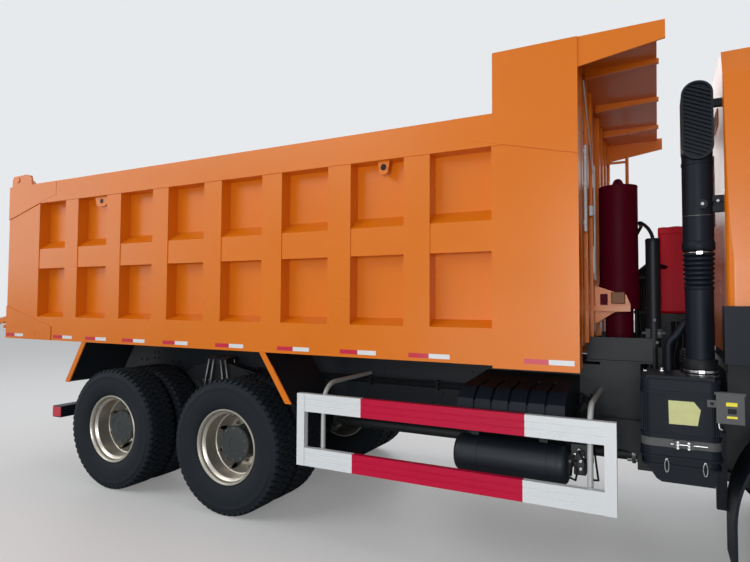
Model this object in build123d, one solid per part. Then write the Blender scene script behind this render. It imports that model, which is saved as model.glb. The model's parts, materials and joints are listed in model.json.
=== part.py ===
from build123d import *
import os
from math import cos, radians, sin, sqrt

# Three-axle dump truck with a forward-tilting cab and a front-mounted telescopic hoist.
# Millimetres. X runs forward, Y to the truck's left, Z up from the ground.
# The origin is on the ground under the middle of the truck's length.

# Driving dimensions of the running gear
TANDEM = 1350.0  # first rear axle to second rear axle
FRONT_OVERHANG = 1480.0  # front axle to the bumper's face
TYRE_R = 538.0
TYRE_W = 300.0
RIM_R = 290.0
FRONT_TRACK = 2022.0
REAR_TRACK = 1840.0
DUAL_SPACING = 345.0
PIN_CLEAR = 1.0  # radial clearance at pins and spindles
GAP = 6.0  # clearance between moving pieces
SEAT_GAP = 0.3  # clearance of curved faces that fit inside each other

# Driving dimensions of the dump bed
BED_LENGTH = 5655.0
BED_AHEAD = 2690.0  # bed front ahead of the first rear axle
AXLE_AHEAD_OF_BED = 1410.0  # front axle ahead of the bed's front
WHEELBASE = BED_AHEAD + AXLE_AHEAD_OF_BED  # front axle to first rear axle
TAIL_REACH = 175.0  # latch hooks behind the bed's side walls
BED_HALF_W = 1250.0
SIDE_DEPTH = 110.0  # depth of the posts and rails outside the side sheet
SHEET = 12.0
RAIL_PROUD = 6.0
LOW_RAIL_Z = (1315.0, 1543.0)
MID_RAIL_Z = (2025.0, 2221.0)
TOP_RAIL_Z = (2685.0, 2890.0)
LOW_RAIL_SLOPE = 48.0
MID_RAIL_SLOPE = 80.0
END_PLATE_L = 515.0
POST_COUNT = 7
POST_W = 188.0
WING_TOP_Z = 3278.0
GUSSET_T = 8.0
FLOOR_TOP_Z = 1437.0
FLOOR_T = 12.0
BEAM_Z = (1276.0, 1425.0)
BEAM_Y = (400.0, 460.0)
HEADBOARD_SETBACK = 100.0
CANOPY_REACH = 460.0
CANOPY_SHEET_T = 16.0
CANOPY_DEPTH = (180.0, 105.0)  # side plate's depth at the bed and at its tip

# Driving dimensions of the frame
FRAME_Z = (830.0, 1130.0)
FRAME_HALF_W = 430.0
FLANGE_W = 80.0
WEB_T = 10.0
SUBFRAME_Z = (1130.0, 1270.0)
FRAME_REAR_REACH = 1090.0  # frame behind the last axle
FRAME_NOSE_GAP = 260.0  # frame behind the bumper's face
HINGE_BACK = 1030.0  # bed hinge behind the last axle
HINGE_Z = 1200.0
HINGE_PIN_R = 30.0

# Driving dimensions of the hoist
HOIST_AHEAD = 140.0  # hoist axis ahead of the bed's front
HOIST_PIN_Z = 1250.0
TRUNNION_Z = 1745.0
COVER_R = 138.0
COVER_Z = (1840.0, 2600.0)
STAGE_WALL = 10.0
STAGE_GAP = 1.0
BASE_TUBE_R = 100.0
STAGE_RADII = tuple(BASE_TUBE_R - i * (STAGE_WALL + STAGE_GAP) for i in range(5))
STAGE_TOP_Z = 2540.0
HOIST_PIN_R = 28.0

# Driving dimensions of the cab
CAB_LENGTH = 2095.0
CAB_HALF_W = 1150.0
CAB_FLOOR_Z = 1380.0
CAB_ROOF_Z = 3135.0
CAB_WALL = 50.0
CAB_CHIN_Z = 1080.0
CAB_INSET = 60.0  # cab front behind the bumper's face
BELT_Z = 1900.0
CAB_HINGE_BACK = 180.0
CAB_HINGE_Z = 980.0
DOOR_LENGTH = 1000.0
DOOR_Z = (1440.0, 2880.0)

# Stations along the truck, from the driving dimensions
NOSE = (WHEELBASE + FRONT_OVERHANG + BED_LENGTH + TAIL_REACH - BED_AHEAD) / 2
FRONT_AXLE = NOSE - FRONT_OVERHANG
REAR_AXLES = (FRONT_AXLE - WHEELBASE, FRONT_AXLE - WHEELBASE - TANDEM)
TANDEM_MID = sum(REAR_AXLES) / 2
BED_FRONT = REAR_AXLES[0] + BED_AHEAD
BED_REAR = BED_FRONT - BED_LENGTH
HEADBOARD = BED_FRONT - HEADBOARD_SETBACK
HOIST_X = BED_FRONT + HOIST_AHEAD
BED_HINGE = REAR_AXLES[1] - HINGE_BACK
FRAME_REAR = REAR_AXLES[1] - FRAME_REAR_REACH
FRAME_FRONT = NOSE - FRAME_NOSE_GAP
CAB_FRONT = NOSE - CAB_INSET
CAB_REAR = CAB_FRONT - CAB_LENGTH
CAB_HINGE = NOSE - CAB_HINGE_BACK
HUB_Z = TYRE_R
PANEL_Y = BED_HALF_W - SIDE_DEPTH  # outer face of the bed's side sheet
INNER_Y = PANEL_Y - SHEET
MIRROR = Plane.XZ


def box(x, y, z):
    """Box between two X, two Y and two Z values."""
    size = [abs(pair[1] - pair[0]) for pair in (x, y, z)]
    low = [min(pair) for pair in (x, y, z)]
    return Pos(*low) * Box(*size, align=(Align.MIN, Align.MIN, Align.MIN))


def side_prism(points, y):
    """Outline of (X, Z) points, pushed between two Y values."""
    face = Face(Wire.make_polygon([(px, min(y), pz) for px, pz in points]))
    return extrude(face, amount=abs(y[1] - y[0]), dir=(0, 1, 0))


def cross_prism(points, x):
    """Outline of (Y, Z) points, pushed between two X values."""
    face = Face(Wire.make_polygon([(min(x), py, pz) for py, pz in points]))
    return extrude(face, amount=abs(x[1] - x[0]), dir=(1, 0, 0))


def rod_x(x, y, z, r):
    """Round bar along X between two X values."""
    length = abs(x[1] - x[0])
    return Pos(sum(x) / 2, y, z) * Rot(0, 90, 0) * Cylinder(r, length)


def rod_y(x, y, z, r):
    """Round bar along Y between two Y values."""
    length = abs(y[1] - y[0])
    return Pos(x, sum(y) / 2, z) * Rot(90, 0, 0) * Cylinder(r, length)


def rod_z(x, y, z, r):
    """Round bar along Z between two Z values."""
    length = abs(z[1] - z[0])
    return Pos(x, y, sum(z) / 2) * Cylinder(r, length)


def turned_y(profile, x, z):
    """Solid of (radius, Y) points turned about the line along Y through X and Z."""
    face = Face(Wire.make_polygon([(r, py, 0) for r, py in profile]))
    return Pos(x, 0, z) * revolve(face, Axis.Y)


def turned_z(profile, x, y):
    """Solid of (radius, Z) points turned about the upright line through X and Y."""
    face = Face(Wire.make_polygon([(r, 0, pz) for r, pz in profile]))
    return Pos(x, y, 0) * revolve(face, Axis.Z)


def both_sides(shape):
    """The shape and its mirror image on the truck's other side."""
    return [shape, mirror(shape, about=MIRROR)]


def join(shapes):
    """One shape from overlapping or touching ones."""
    shapes = list(shapes)
    return shapes[0].fuse(*shapes[1:]) if len(shapes) > 1 else shapes[0]


def save(name, *shapes):
    """One STEP file for one node, which may hold several solids."""
    solids = [solid for shape in shapes for solid in shape.solids()]
    whole = solids[0] if len(solids) == 1 else Compound(children=solids)
    export_step(whole, f"parts/{name}.step")


def leaf_pack(x_mid, half_span, z_mid, z_end, y):
    """Leaf spring: (low, high) at its middle and at its ends, between two Y values."""
    left, right = x_mid - half_span, x_mid + half_span
    low_end, high_end = z_end
    y0 = min(y)
    wires = [
        ThreePointArc((left, y0, low_end), (x_mid, y0, z_mid[0]), (right, y0, low_end)),
        Line((right, y0, low_end), (right, y0, high_end)),
        ThreePointArc((right, y0, high_end), (x_mid, y0, z_mid[1]), (left, y0, high_end)),
        Line((left, y0, high_end), (left, y0, low_end)),
    ]
    return extrude(Face(Wire(wires)), amount=abs(y[1] - y[0]), dir=(0, 1, 0))


# Frame

RAIL_INNER_Y = FRAME_HALF_W - FLANGE_W
CROSS_X = (
    FRAME_REAR + 60.0,
    REAR_AXLES[1] - 520.0,
    TANDEM_MID,
    REAR_AXLES[0] + 620.0,
    REAR_AXLES[0] + 1500.0,
    FRONT_AXLE - 1300.0,
    FRAME_FRONT - 60.0,
)
CROSS_W = 100.0
CROSS_DROP = 60.0
TOW_EYE_R = 25.0
TOW_PLATE_T = 30.0
TOW_REACH = 130.0
TOW_HALF_W = 70.0
TOW_Z = 900.0
NOSE_BAR_H = 80.0
TAIL_PLATE_T = 12.0
CAB_BAR_R = 25.0
CAB_LUG_Y = (RAIL_INNER_Y, RAIL_INNER_Y + 40.0)
CAB_LUG_R = 60.0


def frame_rail():
    """Left rail: a channel that opens inwards."""
    x = (FRAME_REAR, FRAME_FRONT)
    web = box(x, (FRAME_HALF_W - WEB_T, FRAME_HALF_W), FRAME_Z)
    low = box(x, (RAIL_INNER_Y, FRAME_HALF_W), (FRAME_Z[0], FRAME_Z[0] + WEB_T))
    high = box(x, (RAIL_INNER_Y, FRAME_HALF_W), (FRAME_Z[1] - WEB_T, FRAME_Z[1]))
    return join([web, low, high])


def cross_member(x, half):
    """Channel across the frame, open to the rear, reaching half to each side."""
    y = (-half, half)
    z = (FRAME_Z[0] + CROSS_DROP, FRAME_Z[1] - CROSS_DROP)
    web = box((x + CROSS_W / 2 - WEB_T, x + CROSS_W / 2), y, z)
    low = box((x - CROSS_W / 2, x + CROSS_W / 2), y, (z[0], z[0] + WEB_T))
    high = box((x - CROSS_W / 2, x + CROSS_W / 2), y, (z[1] - WEB_T, z[1]))
    return join([web, low, high])


def tow_eye(x_root, direction, z):
    """Flat tongue with an upright bore, reaching forward or back from the frame's end."""
    tip = x_root + direction * TOW_REACH
    tongue = box((x_root, tip), (-TOW_HALF_W, TOW_HALF_W), (z, z + TOW_PLATE_T))
    end = rod_z(tip, 0, (z, z + TOW_PLATE_T), TOW_HALF_W)
    bore = rod_z(tip, 0, (z - GAP, z + TOW_PLATE_T + GAP), TOW_EYE_R)
    return join([tongue, end]) - bore


def cab_bracket():
    """Plate in the left rail's nose that holds the cab's hinge bar."""
    plate = side_prism(
        [
            (FRAME_FRONT - 200.0, FRAME_Z[0] + 5.0),
            (FRAME_FRONT - 200.0, FRAME_Z[1] - 5.0),
            (FRAME_FRONT, FRAME_Z[1] - 60.0),
            (CAB_HINGE + CAB_LUG_R - 20.0, CAB_HINGE_Z + CAB_LUG_R - 10.0),
            (CAB_HINGE + CAB_LUG_R, CAB_HINGE_Z - CAB_LUG_R),
            (FRAME_FRONT, FRAME_Z[0] + 5.0),
        ],
        CAB_LUG_Y,
    )
    bore = rod_y(CAB_HINGE, (0, FRAME_HALF_W), CAB_HINGE_Z, CAB_BAR_R + PIN_CLEAR)
    return plate - bore


def cab_mount():
    """Bridge over the frame under the cab's rear edge, with a rubber pad on each side."""
    x = (CAB_REAR + 60.0, CAB_REAR + 180.0)
    bridge = box(x, (-480.0, 480.0), (1260.0, 1340.0))
    leg = box(x, (FRAME_HALF_W - FLANGE_W, FRAME_HALF_W), (FRAME_Z[1], 1260.0))
    pad = box((x[0] + 20.0, x[1] - 20.0), (TUNNEL_HALF + 5.0, 480.0), (1340.0, CAB_FLOOR_Z - GAP))
    return join([bridge, *both_sides(leg), *both_sides(pad)])


def make_frame():
    # The foremost one fits between the plates that hold the cab's hinge bar
    members = [cross_member(x, FRAME_HALF_W - WEB_T) for x in CROSS_X[:-1]]
    members.append(cross_member(CROSS_X[-1], RAIL_INNER_Y))
    nose_bar = box(
        (FRAME_FRONT - 160.0, FRAME_FRONT),
        (-FRAME_HALF_W, FRAME_HALF_W),
        (FRAME_Z[0] - NOSE_BAR_H, FRAME_Z[0]),
    )
    tail_plate = box(
        (FRAME_REAR - TAIL_PLATE_T, FRAME_REAR),
        (-FRAME_HALF_W, FRAME_HALF_W),
        (FRAME_Z[0], FRAME_Z[1] - 100.0),
    )
    eye = tow_eye(FRAME_REAR - TAIL_PLATE_T, -1, TOW_Z)
    left, right = both_sides(join([frame_rail(), cab_bracket()]))
    save("frame_rails", left, right)
    save("frame_cross_members", *members, nose_bar, join([tail_plate, eye]), cab_mount())


# Subframe with the bed's hinge brackets

SUB_RAIL_Y = (FRAME_HALF_W - FLANGE_W, FRAME_HALF_W)
SUB_FRONT = BED_FRONT - 60.0
SUB_REAR = BED_HINGE + 150.0
SUB_CROSS_X = (SUB_REAR + 60.0, TANDEM_MID, REAR_AXLES[0] + 1200.0, SUB_FRONT - 400.0)
HINGE_PLATE_T = 20.0
HINGE_PLATE_R = 66.0
LUG_SIDE_GAP = 8.0


def hinge_plate(y):
    """Upright plate on the frame's top that holds the bed's hinge pin."""
    outline = [
        (SUB_REAR, SUBFRAME_Z[0]),
        (SUB_REAR, SUBFRAME_Z[1]),
        (BED_HINGE + 40.0, HINGE_Z + HINGE_PLATE_R - 15.0),
        (BED_HINGE - 30.0, HINGE_Z + 40.0),
        (BED_HINGE - HINGE_PLATE_R + 10.0, SUBFRAME_Z[0]),
    ]
    return side_prism(outline, y)


def make_subframe():
    rail = box((SUB_REAR, SUB_FRONT), SUB_RAIL_Y, SUBFRAME_Z)
    inner = (BEAM_Y[0] - LUG_SIDE_GAP - HINGE_PLATE_T, BEAM_Y[0] - LUG_SIDE_GAP)
    outer = (BEAM_Y[1] + LUG_SIDE_GAP, BEAM_Y[1] + LUG_SIDE_GAP + HINGE_PLATE_T)
    pin = rod_y(BED_HINGE, (inner[0], outer[1]), HINGE_Z, HINGE_PIN_R)
    foot = box(
        (BED_HINGE - 20.0, SUB_REAR + 80.0),
        (inner[0], outer[1]),
        (SUBFRAME_Z[0], SUBFRAME_Z[0] + 5.0),
    )
    tie = box((SUB_REAR, SUB_REAR + 80.0), (inner[0], outer[1]), SUBFRAME_Z)
    left = join([rail, hinge_plate(inner), hinge_plate(outer), pin, foot, tie])
    cross = [
        box((x - 40.0, x + 40.0), (-SUB_RAIL_Y[0], SUB_RAIL_Y[0]), SUBFRAME_Z)
        for x in SUB_CROSS_X
    ]
    save("subframe", join([*both_sides(left), *cross, *hoist_mount()]))


# Hoist: mount, base tube, three stages and the cover with the smallest stage

MOUNT_X = (BED_FRONT + 36.0, BED_FRONT + 292.0)
MOUNT_TOP_Z = 1465.0
MOUNT_PLATE_X = (BED_FRONT - 50.0, BED_FRONT + 370.0)
MOUNT_PLATE_Z = (1295.0, 1465.0)
CRADLE_Y = (126.0, 156.0)
MOUNT_T = 12.0


def hoist_mount():
    """Side plates, bridge and cradle with the pin that the hoist stands on."""
    side = box(MOUNT_X, (FRAME_HALF_W - MOUNT_T, FRAME_HALF_W), (FRAME_Z[1], MOUNT_TOP_Z))
    stiffener = box(
        (MOUNT_X[1] - MOUNT_T, MOUNT_X[1]),
        (FRAME_HALF_W - 90.0, FRAME_HALF_W),
        (FRAME_Z[1], MOUNT_TOP_Z),
    )
    beam = box(MOUNT_X, (-FRAME_HALF_W, FRAME_HALF_W), (FRAME_Z[1], FRAME_Z[1] + 40.0))
    cradle = side_prism(
        [
            (MOUNT_X[0], FRAME_Z[1]),
            (HOIST_X - 60.0, HOIST_PIN_Z + 50.0),
            (HOIST_X + 60.0, HOIST_PIN_Z + 50.0),
            (MOUNT_X[1], FRAME_Z[1]),
        ],
        CRADLE_Y,
    )
    pin = rod_y(HOIST_X, (-CRADLE_Y[1], CRADLE_Y[1]), HOIST_PIN_Z, HOIST_PIN_R)
    tie = box((SUB_FRONT - 5.0, MOUNT_X[0] + 5.0), (FRAME_HALF_W - MOUNT_T, FRAME_HALF_W), SUBFRAME_Z)
    wide = box(MOUNT_PLATE_X, (FRAME_HALF_W - MOUNT_T / 2, FRAME_HALF_W + MOUNT_T), MOUNT_PLATE_Z)
    lip = box(
        MOUNT_PLATE_X, (FRAME_HALF_W, FRAME_HALF_W + 45.0), (MOUNT_PLATE_Z[0], MOUNT_PLATE_Z[0] + MOUNT_T)
    )
    plates = [half for one in (side, stiffener, tie, wide, lip) for half in both_sides(one)]
    return [*plates, beam, *both_sides(cradle), pin]


def stage_tube(outer, top, bottom):
    """Open tube of the stage wall."""
    wall = rod_z(HOIST_X, 0, (bottom, top), outer)
    return wall - rod_z(HOIST_X, 0, (bottom - GAP, top + GAP), outer - STAGE_WALL)


def make_hoist():
    base_r = STAGE_RADII[0]
    foot_z = HOIST_PIN_Z + 90.0
    base = stage_tube(base_r, STAGE_TOP_Z, foot_z)
    floor = rod_z(HOIST_X, 0, (foot_z - 30.0, foot_z), base_r)
    eye = box(
        (HOIST_X - 45.0, HOIST_X + 45.0), (-80.0, 80.0), (HOIST_PIN_Z, foot_z - 30.0)
    )
    eye_round = rod_y(HOIST_X, (-80.0, 80.0), HOIST_PIN_Z, 45.0)
    bore = rod_y(HOIST_X, (-100.0, 100.0), HOIST_PIN_Z, HOIST_PIN_R + PIN_CLEAR)
    save("hoist_base", join([base, floor, eye, eye_round]) - bore)
    for i in (1, 2, 3):
        low = foot_z + 5.0 * i
        tube = stage_tube(STAGE_RADII[i], STAGE_TOP_Z + i * 5.0, low)
        save(f"hoist_stage_{i}", tube)
    rod = rod_z(HOIST_X, 0, (foot_z + 30.0, COVER_Z[1]), STAGE_RADII[4])
    cover = rod_z(HOIST_X, 0, COVER_Z, COVER_R)
    hollow = rod_z(HOIST_X, 0, (COVER_Z[0] - GAP, COVER_Z[1] - 25.0), COVER_R - 14.0)
    shell = join([cover - hollow, rod])
    collar_hole = rod_z(HOIST_X, 0, (1600.0, COVER_Z[0] + 20.0), base_r + 8.0)
    collar = rod_z(HOIST_X, 0, (1660.0, COVER_Z[0] + 10.0), COVER_R + 6.0) - collar_hole
    stub = rod_y(HOIST_X, (COVER_R - 10.0, TRUNNION_STUB_Y), TRUNNION_Z, 40.0)
    eye_plate = join(
        [
            box((HOIST_X - 40.0, HOIST_X + 40.0), (-15.0, 15.0), (COVER_Z[1], COVER_Z[1] + 30.0)),
            rod_y(HOIST_X, (-15.0, 15.0), COVER_Z[1] + 28.0, 36.0),
        ]
    )
    save("hoist_cover", join([shell, collar, *both_sides(stub), eye_plate]))


TRUNNION_STUB_Y = 172.0
ARM_Y = (180.0, 240.0)

# Front axle, steering and springs

KINGPIN_Y = 860.0
KINGPIN_R = 22.0
SPINDLE_R = 42.0
FRONT_HUB_Y = FRONT_TRACK / 2
BEAM_TOP_Z = 470.0


def make_front_axle():
    beam = box(
        (FRONT_AXLE - 50.0, FRONT_AXLE + 50.0), (-640.0, 640.0), (BEAM_TOP_Z - 90.0, BEAM_TOP_Z)
    )
    arm = cross_prism(
        [
            (600.0, BEAM_TOP_Z - 90.0),
            (600.0, BEAM_TOP_Z),
            (KINGPIN_Y - 30.0, HUB_Z + 45.0),
            (KINGPIN_Y, HUB_Z + 45.0),
            (KINGPIN_Y, HUB_Z - 45.0),
            (KINGPIN_Y - 85.0, HUB_Z - 45.0),
            (680.0, BEAM_TOP_Z - 90.0),
        ],
        (FRONT_AXLE - 45.0, FRONT_AXLE + 45.0),
    )
    boss = rod_z(FRONT_AXLE, KINGPIN_Y, (HUB_Z - 45.0, HUB_Z + 45.0), 45.0)
    bore = rod_z(FRONT_AXLE, KINGPIN_Y, (HUB_Z - 80.0, HUB_Z + 80.0), KINGPIN_R + PIN_CLEAR)
    end = join([arm, boss]) - bore
    save("front_axle", join([beam, *both_sides(end), *front_springs()]))


def make_knuckles():
    """Left knuckle round its kingpin, with the spindle that carries the wheel."""
    ear_y = (KINGPIN_Y - 45.0, KINGPIN_Y + 110.0)
    ear_x = (FRONT_AXLE - 45.0, FRONT_AXLE + 45.0)
    top_ear = box(ear_x, ear_y, (HUB_Z + 50.0, HUB_Z + 85.0))
    low_ear = box(ear_x, ear_y, (HUB_Z - 85.0, HUB_Z - 50.0))
    back = box(ear_x, (KINGPIN_Y + 60.0, KINGPIN_Y + 110.0), (HUB_Z - 85.0, HUB_Z + 85.0))
    pin = rod_z(FRONT_AXLE, KINGPIN_Y, (HUB_Z - 95.0, HUB_Z + 95.0), KINGPIN_R)
    spindle = rod_y(FRONT_AXLE, (KINGPIN_Y + 100.0, FRONT_HUB_Y + 60.0), HUB_Z, SPINDLE_R)
    arm = box((FRONT_AXLE - 200.0, FRONT_AXLE - 40.0), ear_y, (HUB_Z - 85.0, HUB_Z - 60.0))
    knuckle = join([top_ear, low_ear, back, pin, spindle, arm])
    save("knuckle_left", knuckle)
    save("knuckle_right", mirror(knuckle, about=MIRROR))


def front_springs():
    """Leaf springs with their hangers and clamps."""
    y = (FRAME_HALF_W - 75.0, FRAME_HALF_W)
    pack = leaf_pack(FRONT_AXLE, 780.0, (BEAM_TOP_Z, BEAM_TOP_Z + 90.0), (640.0, 670.0), y)
    front = box((FRONT_AXLE + 740.0, FRONT_AXLE + 820.0), y, (650.0, FRAME_Z[0]))
    rear = box((FRONT_AXLE - 820.0, FRONT_AXLE - 740.0), y, (650.0, FRAME_Z[0]))
    clamp = box((FRONT_AXLE - 70.0, FRONT_AXLE + 70.0), y, (BEAM_TOP_Z, BEAM_TOP_Z + 110.0))
    return both_sides(join([pack, front, rear, clamp]))


# Rear axles, tandem suspension and drive line

AXLE_TUBE_R = 75.0
DIFF_R = 215.0
SPRING_Y = (480.0, 570.0)
REAR_SPRING_Z = (890.0, 1120.0)
TRUNNION_SHAFT_Z = 740.0
PAD_TOP_Z = 660.0
SHAFT_Z = HUB_Z + 30.0
SHAFT_R = 45.0


def rear_axle(x):
    """Drive axle's case, spindles and spring pads."""
    tube = rod_y(x, (-640.0, 640.0), HUB_Z, AXLE_TUBE_R)
    diff = Pos(x, 0, HUB_Z) * Sphere(DIFF_R)
    nose = rod_x((x, x + 300.0), 0, SHAFT_Z, 110.0)
    spindle = rod_y(x, (600.0, REAR_TRACK / 2 + 90.0), HUB_Z, SPINDLE_R)
    pad = box((x - 70.0, x + 70.0), SPRING_Y, (HUB_Z, PAD_TOP_Z))
    return join([tube, diff, nose, *both_sides(join([spindle, pad]))])


def make_rear_suspension():
    half_span = TANDEM / 2 + 20.0
    pack = leaf_pack(
        TANDEM_MID, half_span, REAR_SPRING_Z, (PAD_TOP_Z, PAD_TOP_Z + 45.0), SPRING_Y
    )
    saddle = box(
        (TANDEM_MID - 110.0, TANDEM_MID + 110.0), SPRING_Y, (TRUNNION_SHAFT_Z, REAR_SPRING_Z[0] + 4.0)
    )
    cap = box((TANDEM_MID - 90.0, TANDEM_MID + 90.0), SPRING_Y, (REAR_SPRING_Z[1] - 6.0, 1150.0))
    shaft = rod_y(TANDEM_MID, (-SPRING_Y[1], SPRING_Y[1]), TRUNNION_SHAFT_Z, 55.0)
    hanger = side_prism(
        [
            (TANDEM_MID - 220.0, FRAME_Z[0]),
            (TANDEM_MID + 220.0, FRAME_Z[0]),
            (TANDEM_MID + 80.0, TRUNNION_SHAFT_Z - 90.0),
            (TANDEM_MID - 80.0, TRUNNION_SHAFT_Z - 90.0),
        ],
        (FRAME_HALF_W - 60.0, FRAME_HALF_W - 20.0),
    )
    springs = both_sides(join([pack, saddle, cap]))
    save("rear_suspension", join([shaft, *both_sides(hanger), *springs]))


def make_rear_axles():
    long_shaft = rod_x((REAR_AXLES[0] + 290.0, GEARBOX_REAR), 0, SHAFT_Z, SHAFT_R)
    short = rod_x((REAR_AXLES[1] + 290.0, REAR_AXLES[0] - DIFF_R + 10.0), 0, SHAFT_Z, SHAFT_R)
    save("rear_axles", join([*[rear_axle(x) for x in REAR_AXLES], long_shaft, short]))


# Engine, gearbox and radiator as plain blocks

GEARBOX_REAR = FRONT_AXLE - 1150.0


def make_engine():
    block = box((FRONT_AXLE - 480.0, FRONT_AXLE + 780.0), (-330.0, 330.0), (640.0, 1330.0))
    block -= box((FRONT_AXLE - 90.0, FRONT_AXLE + 90.0), (-340.0, 340.0), (600.0, 720.0))
    gearbox = box((GEARBOX_REAR, FRONT_AXLE - 480.0), (-240.0, 240.0), (520.0, 1020.0))
    core = box((FRONT_AXLE + 850.0, FRONT_AXLE + 960.0), (-RAIL_INNER_Y, RAIL_INNER_Y), (700.0, 1340.0))
    save("engine", join([block, gearbox]), core)


# Tanks and boxes beside the frame

SIDE_IN = FRAME_HALF_W
BATTERY_X = (REAR_AXLES[0] + 1920.0, REAR_AXLES[0] + 2590.0)
AIR_TANK_X = (REAR_AXLES[0] + 1890.0, REAR_AXLES[0] + 2600.0)


def make_battery_box():
    ribs = 6
    pitch = (BATTERY_X[1] - BATTERY_X[0]) / ribs
    outline = [
        (-SIDE_IN, 900.0),
        (-SIDE_IN, 1190.0),
        (-1060.0, 1150.0),
        (-1150.0, 1085.0),
        (-1170.0, 900.0),
    ]
    body = cross_prism(outline, BATTERY_X)
    for i in range(1, ribs):
        x = BATTERY_X[0] + i * pitch
        slot = box((x - 8.0, x + 8.0), (-1200.0, -760.0), (940.0, 1200.0))
        core = cross_prism(
            [(-740.0, 930.0), (-740.0, 1150.0), (-1050.0, 1130.0), (-1135.0, 1070.0), (-1152.0, 930.0)],
            (x - 10.0, x + 10.0),
        )
        body -= slot - core
    save("battery_box", body)


AIR_TANKS = ((-1060.0, 715.0), (-800.0, 745.0))  # centre of each tank: Y, Z
AIR_TANK_R = 122.0


def make_air_tanks():
    tanks = []
    for y, z in AIR_TANKS:
        tanks.append(fillet(rod_x(AIR_TANK_X, y, z, AIR_TANK_R).edges(), 40.0))
    straps = []
    for x in (AIR_TANK_X[0] + 140.0, AIR_TANK_X[1] - 140.0):
        straps.append(box((x - 25.0, x + 25.0), (-1130.0, -SIDE_IN), (850.0, 900.0)))
        straps.append(box((x - 25.0, x + 25.0), (-950.0, -910.0), (640.0, 870.0)))
    save("air_tanks", join([*tanks, *straps]))


FUEL_X = (REAR_AXLES[0] + 1300.0, REAR_AXLES[0] + 2500.0)


def make_fuel_tank():
    tank = box(FUEL_X, (560.0, 1180.0), (600.0, 1120.0))
    tank = fillet(tank.edges().filter_by(Axis.X), 90.0)
    stays = []
    for x in (FUEL_X[0] + 250.0, FUEL_X[1] - 250.0):
        bracket = box((x - 40.0, x + 40.0), (SIDE_IN, 560.0), (640.0, 1100.0))
        shelf = box((x - 40.0, x + 40.0), (SIDE_IN, 1060.0), (570.0, 600.0))
        riser = box((x - 40.0, x + 40.0), (SIDE_IN, 500.0), (570.0, 660.0))
        stays += [bracket, shelf, riser]
    save("fuel_tank", join([tank, *stays]))


# Air intake: filter housing and lower duct on the frame

FILTER_X = (FRONT_AXLE - 1095.0, FRONT_AXLE - 720.0)
DUCT_X = FRONT_AXLE - 798.0
DUCT_Y = 115.0 - CAB_HALF_W
DUCT_R = 71.0
FILTER_Y = (DUCT_Y - 210.0, DUCT_Y + 175.0)
FILTER_TOP_Z = 1290.0
FILTER_LEDGE_Z = (826.0, 874.0)
FILTER_LOW_Z = 735.0
FILTER_LEDGE_IN = 10.0
BELLOWS_Z = (1779.0, 1994.0)
BELLOWS_RIBS = 8
SNORKEL_Z = (BELLOWS_Z[1] + GAP, 2942.0)


def air_filter():
    """Filter housing with its ledge, its tapered cup and the bracket on the frame."""
    body = box(FILTER_X, FILTER_Y, (FILTER_LEDGE_Z[1], FILTER_TOP_Z))
    body = fillet(body.edges().filter_by(Axis.Z), 50.0)
    cap = box(
        (FILTER_X[0] + 25.0, FILTER_X[1] - 25.0),
        (FILTER_Y[0] + 25.0, FILTER_Y[1] - 25.0),
        (FILTER_TOP_Z, FILTER_TOP_Z + 18.0),
    )
    inset = FILTER_LEDGE_IN
    ledge = box(
        (FILTER_X[0] + inset, FILTER_X[1] - inset),
        (FILTER_Y[0] + inset, FILTER_Y[1] - inset),
        FILTER_LEDGE_Z,
    )
    ledge = fillet(ledge.edges().filter_by(Axis.Z), 40.0)
    cup = side_prism(
        [
            (FILTER_X[0] + 2 * inset, FILTER_LEDGE_Z[0]),
            (FILTER_X[1] - 2 * inset, FILTER_LEDGE_Z[0]),
            (FILTER_X[1] - 3 * inset, FILTER_LOW_Z),
            (FILTER_X[0] + 95.0, FILTER_LOW_Z),
            (FILTER_X[0] + 70.0, FILTER_LOW_Z + 15.0),
        ],
        (FILTER_Y[0] + 3 * inset, FILTER_Y[1] - 4 * inset),
    )
    bracket = box((FILTER_X[0] + 60.0, FILTER_X[1] - 60.0), (FILTER_Y[1] - 5.0, -SIDE_IN), (900.0, 1080.0))
    return [body, cap, ledge, cup, bracket]


def make_air_intake():
    foot = FILTER_TOP_Z + 10.0
    profile = [(0.0, foot), (DUCT_R + 10.0, foot), (DUCT_R + 10.0, foot + 80.0)]
    profile.append((DUCT_R, foot + 90.0))
    profile.append((DUCT_R, BELLOWS_Z[0]))
    step = (BELLOWS_Z[1] - BELLOWS_Z[0]) / BELLOWS_RIBS
    for i in range(BELLOWS_RIBS):
        z = BELLOWS_Z[0] + i * step
        swell = 4.0 + 0.7 * i
        profile.append((DUCT_R + swell, z + 0.25 * step))
        profile.append((DUCT_R + swell, z + 0.6 * step))
        profile.append((DUCT_R + swell - 10.0, z + step))
    profile.append((0.0, BELLOWS_Z[1]))
    save("air_intake", join([*air_filter(), turned_z(profile, DUCT_X, DUCT_Y)]))


# Hydraulic oil tank behind the cab, on the left

OIL_TANK_X = (CAB_REAR - 320.0, CAB_REAR - 40.0)
VALVE_POST_X = CAB_REAR - 358.0
VALVE_POST_Z = (1690.0, 2140.0)
VALVE_POST_R = 46.0


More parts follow.
